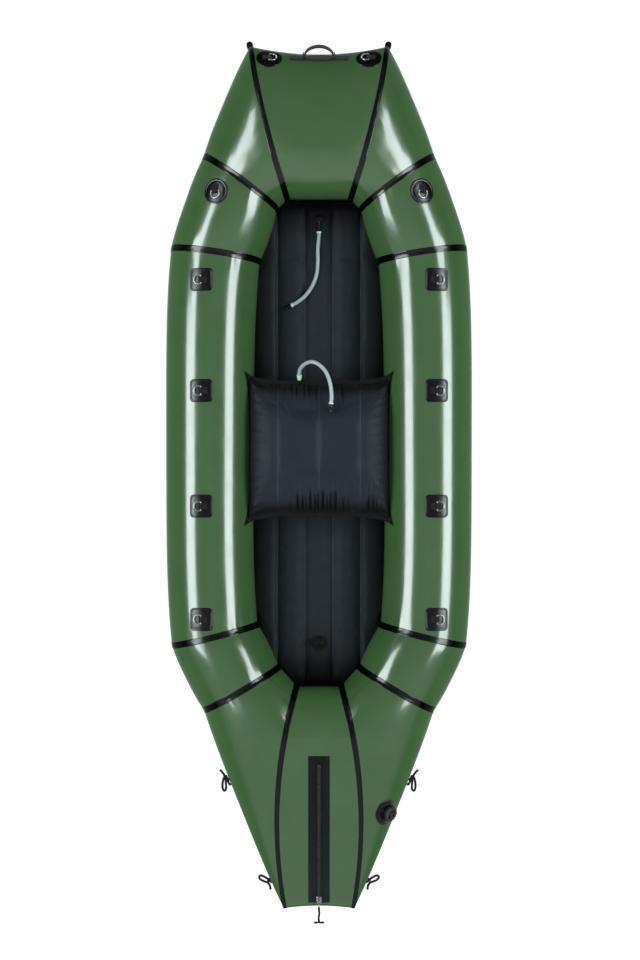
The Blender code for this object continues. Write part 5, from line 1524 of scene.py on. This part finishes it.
def handle_anchor(place, side):
    """One end of the base: a low sewn loop round the strap's foot, and the box of stitches beside it."""
    inside = side * (HANDLE_SPAN / 2 + 0.0004)
    outside = inside + side * HANDLE_STRAP
    half = HANDLE_STRAP_WIDTH / 2
    ring = arch(half, HANDLE_PIVOT, ANCHOR_FLATNESS, 20)
    ring += [(-half, PATCH_TOP - PATCH / 2), (half, PATCH_TOP - PATCH / 2)]
    cuts = ((inside, 0.96), (inside + side * 0.0005, 1), (outside - side * 0.0005, 1), (outside, 0.96))
    rows = [[(a, b * shrink, min(z, PATCH_TOP) + max(z - PATCH_TOP, 0) * shrink) for b, z in ring]
            for a, shrink in cuts]
    parts = [(loop_mesh("anchor", rows, closed=False), place)]
    near = outside + side * BOX_NEAR
    far = outside + side * BOX_FAR
    lines = [((near, -BOX_HALF), (near, BOX_HALF)), ((far, -BOX_HALF), (far, BOX_HALF)),
             ((near, -BOX_HALF), (far, -BOX_HALF)), ((near, BOX_HALF), (far, BOX_HALF))]
    turn = place.to_3x3().to_4x4()
    for data, matrix in stitch_rows(lines, 0):
        a, b, _ = matrix.translation
        point = draped(place, a, b, PATCH_TOP + 0.0001)
        parts.append((data, Matrix.Translation(point) @ turn @ matrix.to_3x3().to_4x4()))
    return parts


def add_handle():
    """The bow handle: long base patch with two sewn anchors, and the strap that folds between them."""
    place = seat_on(0, 0.962 * BOW_REACH, (1, 0, 0))
    outline = rounded_oblong(HANDLE_PATCH_LENGTH, HANDLE_PATCH_WIDTH, HANDLE_PATCH_CORNER, 6, 140)
    steps = [(share, PATCH_GAP + PATCH * thick) for share, thick in HANDLE_PATCH_STEPS]
    parts = [(draped_plate("handle_patch", place, outline, steps), Matrix())]
    steps = [(share, PATCH_TOP + rise) for share, rise in HANDLE_PAD_STEPS]
    pad = oval(HANDLE_PAD_LENGTH, HANDLE_PAD_WIDTH)
    parts.append((draped_plate("pad", place, pad, steps), Matrix()))
    for side in (-1, 1):
        parts += handle_anchor(place, side)
    link_object("handle_patch", join_meshes("handle_patch", parts), WEBBING,
                smooth_angle=50)
    way = [(HANDLE_SPAN * (share - 0.5), 0, HANDLE_HEIGHT * rise) for share, rise in ARCH_SHARES]
    outside = smooth_way(way, 61)
    ahead = np.gradient(outside, axis=0)
    ahead /= np.linalg.norm(ahead, axis=1)[:, None]
    ups = [(-a[2], 0, a[0]) for a in ahead]
    middle = [Vector(p) - Vector(u) * HANDLE_STRAP / 2 for p, u in zip(outside, ups)]
    strap = strap_sweep("handle_loop", middle, ups, HANDLE_STRAP_WIDTH, HANDLE_STRAP * 0.92)
    strap.transform(place @ Matrix.Translation((0, 0, HANDLE_PIVOT)))
    link_object("handle_loop", strap, WEBBING, body="carry_handle", smooth_angle=50)


add_handle()


# ---- valves ----------------------------------------------------------------------------------------

VALVE_FLANGE = 0.090
VALVE_COLLAR = 0.056
VALVE_BORE = 0.040
VALVE_COLLAR_HEIGHT = 0.007
VALVE_DEPTH = 0.016
VALVE_SHELF = 0.002
VALVE_CAP = 0.054
VALVE_CAP_HEIGHT = 0.011
VALVE_CAP_DISH = 0.0026
VALVE_FLAP = 0.034
VALVE_FLAP_THICK = 0.002
FLOOR_VALVE_FLANGE = 0.058
FLOOR_VALVE_CAP = 0.038
FLOOR_VALVE_CAP_HEIGHT = 0.006
FLOOR_VALVE_CAP_DISH = 0.0018

# Where the valve sits and the way its cap is screwed, as the part's source sets it square to the hull's
# own facet there
VALVE_PLACE = (0.22606, -1.115888, 0.261562)
VALVE_AXIS = (0.6312, -0.239038, 0.737867)


def add_main_valve():
    """Main valve: welded flange, collar through the skin, the flap inside it, and a ribbed screw cap."""
    place = facing_frame(VALVE_PLACE, Vector(VALVE_AXIS).normalized(), (0, -1, 0))
    flange = patch_mesh("valve_flange", place, oval(VALVE_FLANGE, VALVE_FLANGE))
    bore = VALVE_BORE / 2
    collar = VALVE_COLLAR / 2
    shelf = VALVE_FLAP / 2 - VALVE_SHELF
    ledge = VALVE_SHELF - VALVE_DEPTH
    wall = [(bore, VALVE_COLLAR_HEIGHT), (collar, VALVE_COLLAR_HEIGHT), (collar, -VALVE_DEPTH),
            (shelf, -VALVE_DEPTH), (shelf, ledge), (bore, ledge), (bore, -VALVE_SHELF),
            (shelf, -VALVE_SHELF), (shelf, 0), (bore, 0)]
    body = loop_mesh("valve_body", [[(a, b, z) for a, b in oval(2 * r, 2 * r)] for r, z in wall], closed=True)
    whole = join_meshes("main_valve_base", [(flange, Matrix()), (body, place)])
    link_object("main_valve_base", whole, MOULDED, smooth_angle=35)
    corners = [(CORE, -VALVE_FLAP_THICK), (VALVE_FLAP / 2, -VALVE_FLAP_THICK), (VALVE_FLAP / 2, 0), (CORE, 0)]
    flap = plain_turned("main_valve_flap", corners, 0.0005)
    flap.transform(place @ Matrix.Translation((0, 0, -VALVE_SHELF - CLEAR)))
    link_object("main_valve_flap", flap, RUBBER, body="main_valve_flap")
    rim = VALVE_CAP / 2
    top = VALVE_CAP_HEIGHT
    dish = top - VALVE_CAP_DISH
    plug = bore - RUNNING_CLEAR
    outline = [(CORE, -0.0018), (plug, -0.0018), (plug, 0), (rim, 0), (rim, top), (rim * 0.60, top),
               (rim * 0.54, dish), (rim * 0.16, dish), (rim * 0.10, dish + 0.0010), (CORE, dish + 0.0010)]
    profile = [(r, z, r > rim * 0.93) for r, z in rounded_profile(outline, 0.0011)]
    cap = turned_mesh("main_valve_cap", profile, 256, ribs=16, rib_depth=0.0024, rib_share=-0.35)
    grips = []
    for turn in range(3):
        bar = box_mesh("grip", (rim * 0.52, 0.0026, 0.0028), 0.0007)
        spin = Matrix.Rotation(math.pi * 2 / 3 * turn, 4, "Z")
        grips.append((bar, spin @ Matrix.Translation((rim * 0.33, 0, top - 0.0014))))
    whole = join_meshes("main_valve_cap", [(cap, Matrix())] + grips)
    whole.transform(place @ Matrix.Translation((0, 0, VALVE_COLLAR_HEIGHT + CLEAR)))
    link_object("main_valve_cap", whole, MOULDED, body="main_valve_cap", smooth_angle=35)


def add_floor_valve():
    """The floor's dump valve: soft flange welded to the mat, and a low cap held by a tether lobe."""
    rim = FLOOR_VALVE_FLANGE / 2
    neck = FLOOR_VALVE_CAP / 2
    corners = [(CORE, -0.0040), (rim - 0.0006, -0.0040), (rim - 0.0004, 0.0004), (neck + 0.0050, 0.0006),
               (neck + 0.0030, SKIN), (CORE, SKIN)]
    base = plain_turned("floor_valve_base", corners, 0.0005)
    corners = [(CORE, -0.0010), (0.0105, -0.0010), (0.0105, 0.0016), (0.0060, 0.0016), (0.0052, 0.0008),
               (CORE, 0.0008)]
    lobe = plain_turned("lobe", corners, 0.0004, 48)
    aside = Matrix.Translation((0, rim + 0.0020, 0.0004))
    base = join_meshes("floor_valve_base", [(base, Matrix()), (lobe, aside)])
    base.transform(FLOOR_VALVE)
    link_object("floor_valve_base", base, MOULDED)
    top = FLOOR_VALVE_CAP_HEIGHT
    dish = top - FLOOR_VALVE_CAP_DISH
    outline = [(CORE, 0), (neck, 0), (neck, top), (neck * 0.62, top), (neck * 0.56, dish), (CORE, dish)]
    profile = [(r, z, r > neck * 0.93) for r, z in rounded_profile(outline, 0.0009)]
    cap = turned_mesh("floor_valve_cap", profile, 192, ribs=12, rib_depth=0.0026, rib_share=-0.2)
    bar = box_mesh("grip", (neck * 1.04, 0.0042, 0.0030), 0.0009)
    on_top = Matrix.Translation((0, 0, top - 0.0012))
    whole = join_meshes("floor_valve_cap", [(cap, Matrix()), (bar, on_top)])
    whole.transform(FLOOR_VALVE @ Matrix.Translation((0, 0, SKIN + CLEAR)))
    link_object("floor_valve_cap", whole, MOULDED, body="floor_valve_cap",
                smooth_angle=35)


add_main_valve()
add_floor_valve()


# ---- hose fittings ---------------------------------------------------------------------------------

NOZZLE = 0.011
NOZZLE_LENGTH = 0.044
NOZZLE_BOSS = 0.018
NOZZLE_FLANGE = 0.030


BARBED_LENGTH = 0.013
BARB_PITCH = 0.004


def add_floor_fitting():
    """Elbow on the mat: low flange, domed boss, and a barbed nozzle that lies along the floor."""
    rim = NOZZLE_FLANGE / 2
    boss = NOZZLE_BOSS / 2
    axis = 0.002 + HOSE / 2
    top = axis + NOZZLE / 2 + SKIN
    corners = [(CORE, 0), (rim, 0), (rim, 0.0016), (boss + 0.0012, 0.0020), (boss, top - 0.0008),
               (boss * 0.55, top), (CORE, top)]
    foot = plain_turned("foot", corners, 0.0014, 64)
    pipe = NOZZLE / 2
    first = NOZZLE_LENGTH - BARBED_LENGTH
    barbs = [(CORE, 0), (pipe, 0), (pipe, first)]
    for step in range(3):
        z = first + BARB_PITCH * step
        barbs += [(pipe + 0.0009, z + 0.0002), (pipe - 0.0002, z + 0.0036)]
    barbs += [(pipe - 0.0004, NOZZLE_LENGTH), (CORE, NOZZLE_LENGTH)]
    nozzle = turned_mesh("nozzle", [(r, z, False) for r, z in barbs], 40)
    nozzle.transform(Matrix.Translation((0, 0, axis)) @ Matrix.Rotation(math.pi / 2, 4, "Y"))
    whole = join_meshes("floor_tube_fitting", [(foot, Matrix()), (nozzle, Matrix())])
    whole.transform(FLOOR_FITTING)
    link_object("floor_tube_fitting", whole, MOULDED)


def add_seat_fitting():
    """Barb welded into the seat's fore edge, moulded pale green."""
    barb = HOSE / 2
    corners = [(CORE, -barb / 2), (barb * 0.5, -barb / 2), (barb, 0), (barb, barb * 0.9), (barb + SKIN, barb),
               (barb + SKIN, barb * 1.9), (barb, barb * 2), (CORE, barb * 2)]
    data = plain_turned("seat_tube_fitting", corners, 0.0006, 48)
    data.transform(SEAT_FITTING)
    link_object("seat_tube_fitting", data, GLOW)


def add_mouthpiece(name, points):
    """Twist mouthpiece: knurled locking collar, neck, and a soft bite end with its air hole."""
    ahead = Vector(points[-1] - points[-2]).normalized()
    place = frame_along(ahead, Vector(points[-1]) + ahead * CLEAR)
    bore = 0.006
    collar = 0.008
    length = 0.026
    hole = length - 0.004
    outline = [(CORE, 0), (bore, 0), (collar, 0.0010), (collar, length * 0.36), (bore, length * 0.44),
               (bore * 0.86, length * 0.56), (bore, length * 0.70), (bore, length), (0.0030, length),
               (0.0026, hole), (CORE, hole)]
    profile = [(r, z, r > collar * 0.95) for r, z in rounded_profile(outline, 0.0007)]
    data = turned_mesh(name, profile, 96, ribs=12, rib_depth=0.0006, rib_share=0)
    data.transform(place)
    link_object(name, data, MOULDED, body=name, smooth_angle=35)


add_floor_fitting()
add_seat_fitting()
add_mouthpiece("floor_mouthpiece", FLOOR_HOSE_POINTS)
add_mouthpiece("seat_mouthpiece", SEAT_HOSE_POINTS)


# ---- stern zip -------------------------------------------------------------------------------------

ZIP_TAPE_WIDTH = 0.070
ZIP_TAPE_LENGTH = 0.500
ZIP_TAPE_THICK = 0.0014
ZIP_LIPS = 0.011
ZIP_RISE = 0.004
ZIP_END_MARGIN = 0.010
SLIDER_LENGTH = 0.024
SLIDER_WIDTH = 0.018
SLIDER_WALL = 0.002
LINK_LENGTH = 0.026
LINK_WIDTH = 0.009
LINK_WIRE = 0.0024
PULL_CORD = 0.0076
PULL_CORD_LENGTH = 0.052
TOGGLE_LENGTH = 0.036
TOGGLE = 0.008


def zip_frame():
    """Middle of the zip on the stern panel: X along it towards the stern's end, Z off the hull."""
    end = ZIP_END_MARGIN - 0.993 * STERN_REACH
    fore, _ = below(0, end + ZIP_TAPE_LENGTH)
    aft, _ = below(0, end)
    ahead = (aft - fore).normalized()
    side = Vector((1, 0, 0))
    return node_frame((fore + aft) / 2, ahead, side, ahead.cross(side))


ZIP = zip_frame()
ZIP_BACK = ZIP.inverted()
TAPE_TOP = PATCH_GAP + ZIP_TAPE_THICK
ZIP_BASE = TAPE_TOP + 0.00204
ZIP_CREST = ZIP_BASE + ZIP_RISE
CHAIN_START = 0.026 - ZIP_TAPE_LENGTH / 2
CHAIN_END = ZIP_TAPE_LENGTH / 2
STOP = (0.006, 0.013, 0.0026)
STOP_LIFT = 0.0006

# Half of the tape across, from its middle outwards: share of its half width, share of its thickness. The
# dip is the border that the welding bar pressed.
TAPE_ACROSS = ((0, 1), (0.3, 1), (0.55, 1), (0.78, 1), (0.80, 0.72), (0.88, 0.72), (0.90, 1), (0.985, 0.9),
               (1, 0.2))
# A lip from the chain outwards: share of its half width, share of its height
LIP_ACROSS = ((0.06, 0.3), (0.09, 0.86), (0.25, 0.98), (0.5, 1), (0.8, 0.93), (0.97, 0.6), (1, 0))
LIP_INNER = LIP_ACROSS[0][0]
LIP_RUN_IN = 0.006
TOOTH_HALF = 0.00045


def tape_top(a):
    """Height of the tape's own top over the zip's frame, a along it."""
    return (ZIP_BACK @ draped(ZIP, a, 0, TAPE_TOP)).z


def add_zip_tape():
    """The zip's wide welded tape with a pressed border, and the stop at the start of the chain."""
    half = ZIP_TAPE_LENGTH / 2
    wide = ZIP_TAPE_WIDTH / 2
    edges = (0, 0.0008, 0.004, 0.0048)
    columns = [edge - half for edge in edges] + list(np.linspace(0.010 - half, half - 0.010, 90))
    columns += [half - edge for edge in reversed(edges)]
    across = [(-b, share) for b, share in reversed(TAPE_ACROSS[1:])] + list(TAPE_ACROSS)
    top = []
    bottom = []
    for a in columns:
        limit = 0.2 if abs(a) >= half - 0.0001 else 1
        top.append([draped(ZIP, a, wide * b, PATCH_GAP + ZIP_TAPE_THICK * min(share, limit))
                    for b, share in across])
        bottom.append([draped(ZIP, a, wide * b, PATCH_GAP) for b, _ in across])
    stop = box_mesh("stop", STOP, 0.0008)
    seat = ZIP @ Matrix.Translation((CHAIN_START, 0, tape_top(CHAIN_START) + STOP_LIFT))
    whole = join_meshes("zip_tape", [(plate_mesh("zip_tape", top, bottom), Matrix()), (stop, seat)])
    link_object("zip_tape", whole, ZIP_TAPE, smooth_angle=50)


def add_zip_lips():
    """The two coated lips that seal the chain, and the coil's teeth that tell between them."""
    parts = []
    for side in (-1, 1):
        rows = []
        for a in np.linspace(CHAIN_START, CHAIN_END, 260):
            ground = tape_top(a)
            tip = min((a - CHAIN_START) / LIP_RUN_IN, 1) ** 0.5
            height = (ZIP_CREST - 0.0002 - ground) * tip
            section = [(a, side * b * ZIP_LIPS / 2, ground + height * rise) for b, rise in LIP_ACROSS]
            section += [(a, side * b * ZIP_LIPS / 2, ground - SINK) for b in (1, LIP_INNER)]
            rows.append(section)
        parts.append((loop_mesh("lip", rows, closed=False), ZIP))
    rows = []
    for i, a in enumerate(np.linspace(CHAIN_START + 0.004, CHAIN_END - 0.001, 320)):
        ground = tape_top(a)
        rise = ground + (ZIP_CREST - ground) * (0.80 if i % 4 < 2 else 0.55)
        rows.append([(a, -TOOTH_HALF, ground - SINK), (a, -TOOTH_HALF, rise), (a, TOOTH_HALF, rise),
                     (a, TOOTH_HALF, ground - SINK)])
    parts.append((loop_mesh("teeth", rows, closed=False), ZIP))
    link_object("zip_lips", join_meshes("zip_lips", parts), ZIP_LIPS_FINISH, smooth_angle=50)


# The slider from its nose to its tail: share of its half length, what its sides and edges draw in
SLIDER_STEPS = ((-1, 0.0024, 0.0007), (-0.95, 0.0017, 0.0002), (-0.5, 0.0003, 0), (0, 0, 0),
                (0.5, 0.0008, 0), (0.95, 0.0012, 0.0002), (1, 0.0018, 0.0007))
SLIDER_DECK = ZIP_CREST + RUNNING_CLEAR + SLIDER_WALL
SLIDER_PLACE = (ZIP_TAPE_LENGTH - SLIDER_LENGTH) / 2
LINK_PIVOT = LINK_WIRE / 2 + RUNNING_CLEAR


def slider_body():
    """The cast body: side walls that run beside the lips, and a crowned deck over them."""
    floor = ZIP_BASE + RUNNING_CLEAR
    roof = SLIDER_DECK - SLIDER_WALL
    inner = ZIP_LIPS / 2 + RUNNING_CLEAR
    rows = []
    for share, shrink, drop in SLIDER_STEPS:
        wide = SLIDER_WIDTH / 2 - shrink
        ring = [(wide, floor + drop), (wide, roof), (wide - 0.0005, roof + 0.0012),
                (wide - 0.0020, SLIDER_DECK - drop), (0, SLIDER_DECK - drop + 0.0001)]
        ring += [(-b, z) for b, z in reversed(ring[:-1])]
        ring += [(-inner, floor + drop), (-inner, roof), (inner, roof), (inner, floor + drop)]
        rows.append([(SLIDER_LENGTH / 2 * share, b, z) for b, z in ring])
    return loop_mesh("slider", rows, closed=False)


def slider_bridge():
    """The bent strip on the deck that holds the link."""
    foot = [(LINK_PIVOT + 0.0026, SLIDER_DECK - 0.0004), (LINK_PIVOT + 0.0012, SLIDER_DECK + 0.0006)]
    over = arch(LINK_PIVOT + 0.0005, SLIDER_DECK + LINK_PIVOT, 1, 12)
    way = [(a, 0, z) for a, z in foot + over + [(-a, z) for a, z in reversed(foot)]]
    ahead = np.gradient(np.array(way), axis=0)
    ups = [Vector((a[2], 0, -a[0])).normalized() for a in ahead]
    width = LINK_WIDTH - 2 * LINK_WIRE - 2 * RUNNING_CLEAR
    return strap_sweep("bridge", way, ups, width, SLIDER_WALL / 2)


# The turned toggle from its middle outwards: share of its half length, share of its radius
TOGGLE_PROFILE = ((0.12, 0.70), (0.16, 0.82), (0.4, 0.88), (0.70, 1), (0.80, 0.97), (0.90, 0.72),
                  (0.97, 0.62), (1, 0.35))


def add_slider():
    """The slider over the lips with its bridge, the wire link in it, and a cord with a turned toggle."""
    whole = join_meshes("zip_slider", [(slider_body(), Matrix()), (slider_bridge(), Matrix())])
    whole.transform(ZIP @ Matrix.Translation((SLIDER_PLACE, 0, 0)))
    link_object("zip_slider", whole, STEEL, body="zip_slider")
    hinge = ZIP @ Matrix.Translation((SLIDER_PLACE, 0, SLIDER_DECK + LINK_PIVOT))
    width = (LINK_WIDTH - LINK_WIRE) / 2
    reach = LINK_LENGTH - LINK_WIRE
    bend = LINK_WIRE
    loop = smooth_way([(0, -width, 0), (0, width, 0), (bend, width, 0), (reach * 0.5, width * 0.86, 0),
                       (reach - bend, width, 0), (reach, width * 0.5, 0), (reach, -width * 0.5, 0),
                       (reach - bend, -width, 0), (reach * 0.5, -width * 0.86, 0), (bend, -width, 0)],
                      80, closed=True)
    link = loop_mesh("zip_link", tube_rows(loop, LINK_WIRE / 2 * 0.96, 14, closed=True), closed=True)
    link.transform(hinge)
    link_object("zip_link", link, STEEL, body="zip_pull")
    start = reach + LINK_WIRE / 2 + CLEAR
    stop = start + PULL_CORD_LENGTH
    shares = [(-share, thick) for share, thick in reversed(TOGGLE_PROFILE)] + list(TOGGLE_PROFILE)
    profile = [(TOGGLE / 2 * thick, TOGGLE_LENGTH / 2 * share, False) for share, thick in shares]
    toggle = turned_mesh("toggle", profile, 40)
    toggle.transform(hinge @ Matrix.Translation((stop, 0, 0)) @ Matrix.Rotation(math.pi / 2, 4, "X"))
    bar = link_object("zip_toggle", toggle, MOULDED, body="zip_pull")
    route = [(start, 0, 0), (start + 0.006, 0, 0), (start + 0.020, 0.0012, 0.0004),
             (start + 0.036, -0.0010, 0.0003), (stop - 0.004, 0.0002, 0)]
    points = smooth_way([tuple(hinge @ Vector(p)) for p in route], 24)
    cord = link_object("zip_pull_cord", cord_curve("zip_pull_cord", points, PULL_CORD), CORD, body="zip_pull")


add_zip_tape()
add_zip_lips()
add_slider()


# ---- studio ----------------------------------------------------------------------------------------

FLOOR_REACH = 14.0
FLOOR_DROP = 0.002
FLOOR_GLOW = 0.55
LAMP_TINT = (0.895, 0.99, 1.0)
ROOM_TINT = (0.92, 0.98, 1, 1)


def add_floor_plane():
    """White seamless floor. It glows a little where it is seen, so it stays white in the raft's shade."""
    data = bpy.data.meshes.new("studio_floor")
    corners = [(a * FLOOR_REACH, b * FLOOR_REACH, -FLOOR_DROP)
               for a, b in ((-1, -1), (1, -1), (1, 1), (-1, 1))]
    data.from_pydata(corners, [], [(0, 1, 2, 3)])
    made = bpy.data.objects.new("studio_floor", data)
    bpy.context.scene.collection.objects.link(made)
    finish, tree, shader = blank("studio_floor_white", "#f4f4f4", 0.9, specular=0.0)
    path = put(tree, "LightPath")
    seen = path.outputs["Is Camera Ray"]
    for ray in ("Is Glossy Ray", "Is Transmission Ray"):
        seen = put(tree, "Math", {"operation": "MAXIMUM"}, {0: seen, 1: path.outputs[ray]}).outputs[0]
    glow = put(tree, "Math", {"operation": "MULTIPLY"}, {0: seen, 1: FLOOR_GLOW})
    shader.inputs["Emission Color"].default_value = (1, 1, 1, 1)
    tree.links.new(glow.outputs[0], shader.inputs["Emission Strength"])
    data.materials.append(finish)


def add_lamp(name, place, size, power, mirrored=True):
    """A soft box aimed at the raft's long axis, a shade cooler than the room. Its size is its length along
    the raft and its height across it, which set how long and how wide its mirror image in the gloss is."""
    data = bpy.data.lights.new(name, "AREA")
    data.shape = "RECTANGLE"
    data.size, data.size_y = size
    data.energy = power
    data.color = LAMP_TINT
    made = bpy.data.objects.new(name, data)
    made.visible_glossy = mirrored
    made.location = place
    made.rotation_euler = Vector((-place[0], 0, -place[2])).to_track_quat("-Z", "Y").to_euler()
    bpy.context.scene.collection.objects.link(made)


def add_world():
    """A room that is lit from its far wall, behind the stern, and dark behind the bow."""
    world = bpy.data.worlds.new("studio")
    bpy.context.scene.world = world
    world.use_nodes = True
    tree = world.node_tree
    back = tree.nodes["Background"]
    way = put(tree, "TexCoord")
    parts = put(tree, "SeparateXYZ", None, {"Vector": way.outputs["Generated"]})
    glow = put(tree, "MapRange", None, {"Value": parts.outputs["Y"], "From Min": -0.85, "From Max": 0.12,
                                        "To Min": 0.46, "To Max": 0.09})
    back.inputs["Color"].default_value = ROOM_TINT
    tree.links.new(glow.outputs[0], back.inputs["Strength"])


add_floor_plane()
# The side boxes draw the two bright lines on each side tube; the bow boxes, further forward and higher, draw
# the bars on the aft sides and the bow quarters; the ceiling lamp fills the cockpit and isn't mirrored.
for side, word in ((-1, "left"), (1, "right")):
    add_lamp(f"soft_box_{word}", (side * 5.7, -0.27, 4.8), (3.35, 3.0), 210)
    add_lamp(f"bow_box_{word}", (side * 5.22, 2.4, 5.37), (2.0, 1.5), 62)
add_lamp("ceiling_fill", (0, -0.6, 8.8), (4.0, 4.0), 130, mirrored=False)
add_world()
bpy.context.scene.view_settings.view_transform = "Standard"


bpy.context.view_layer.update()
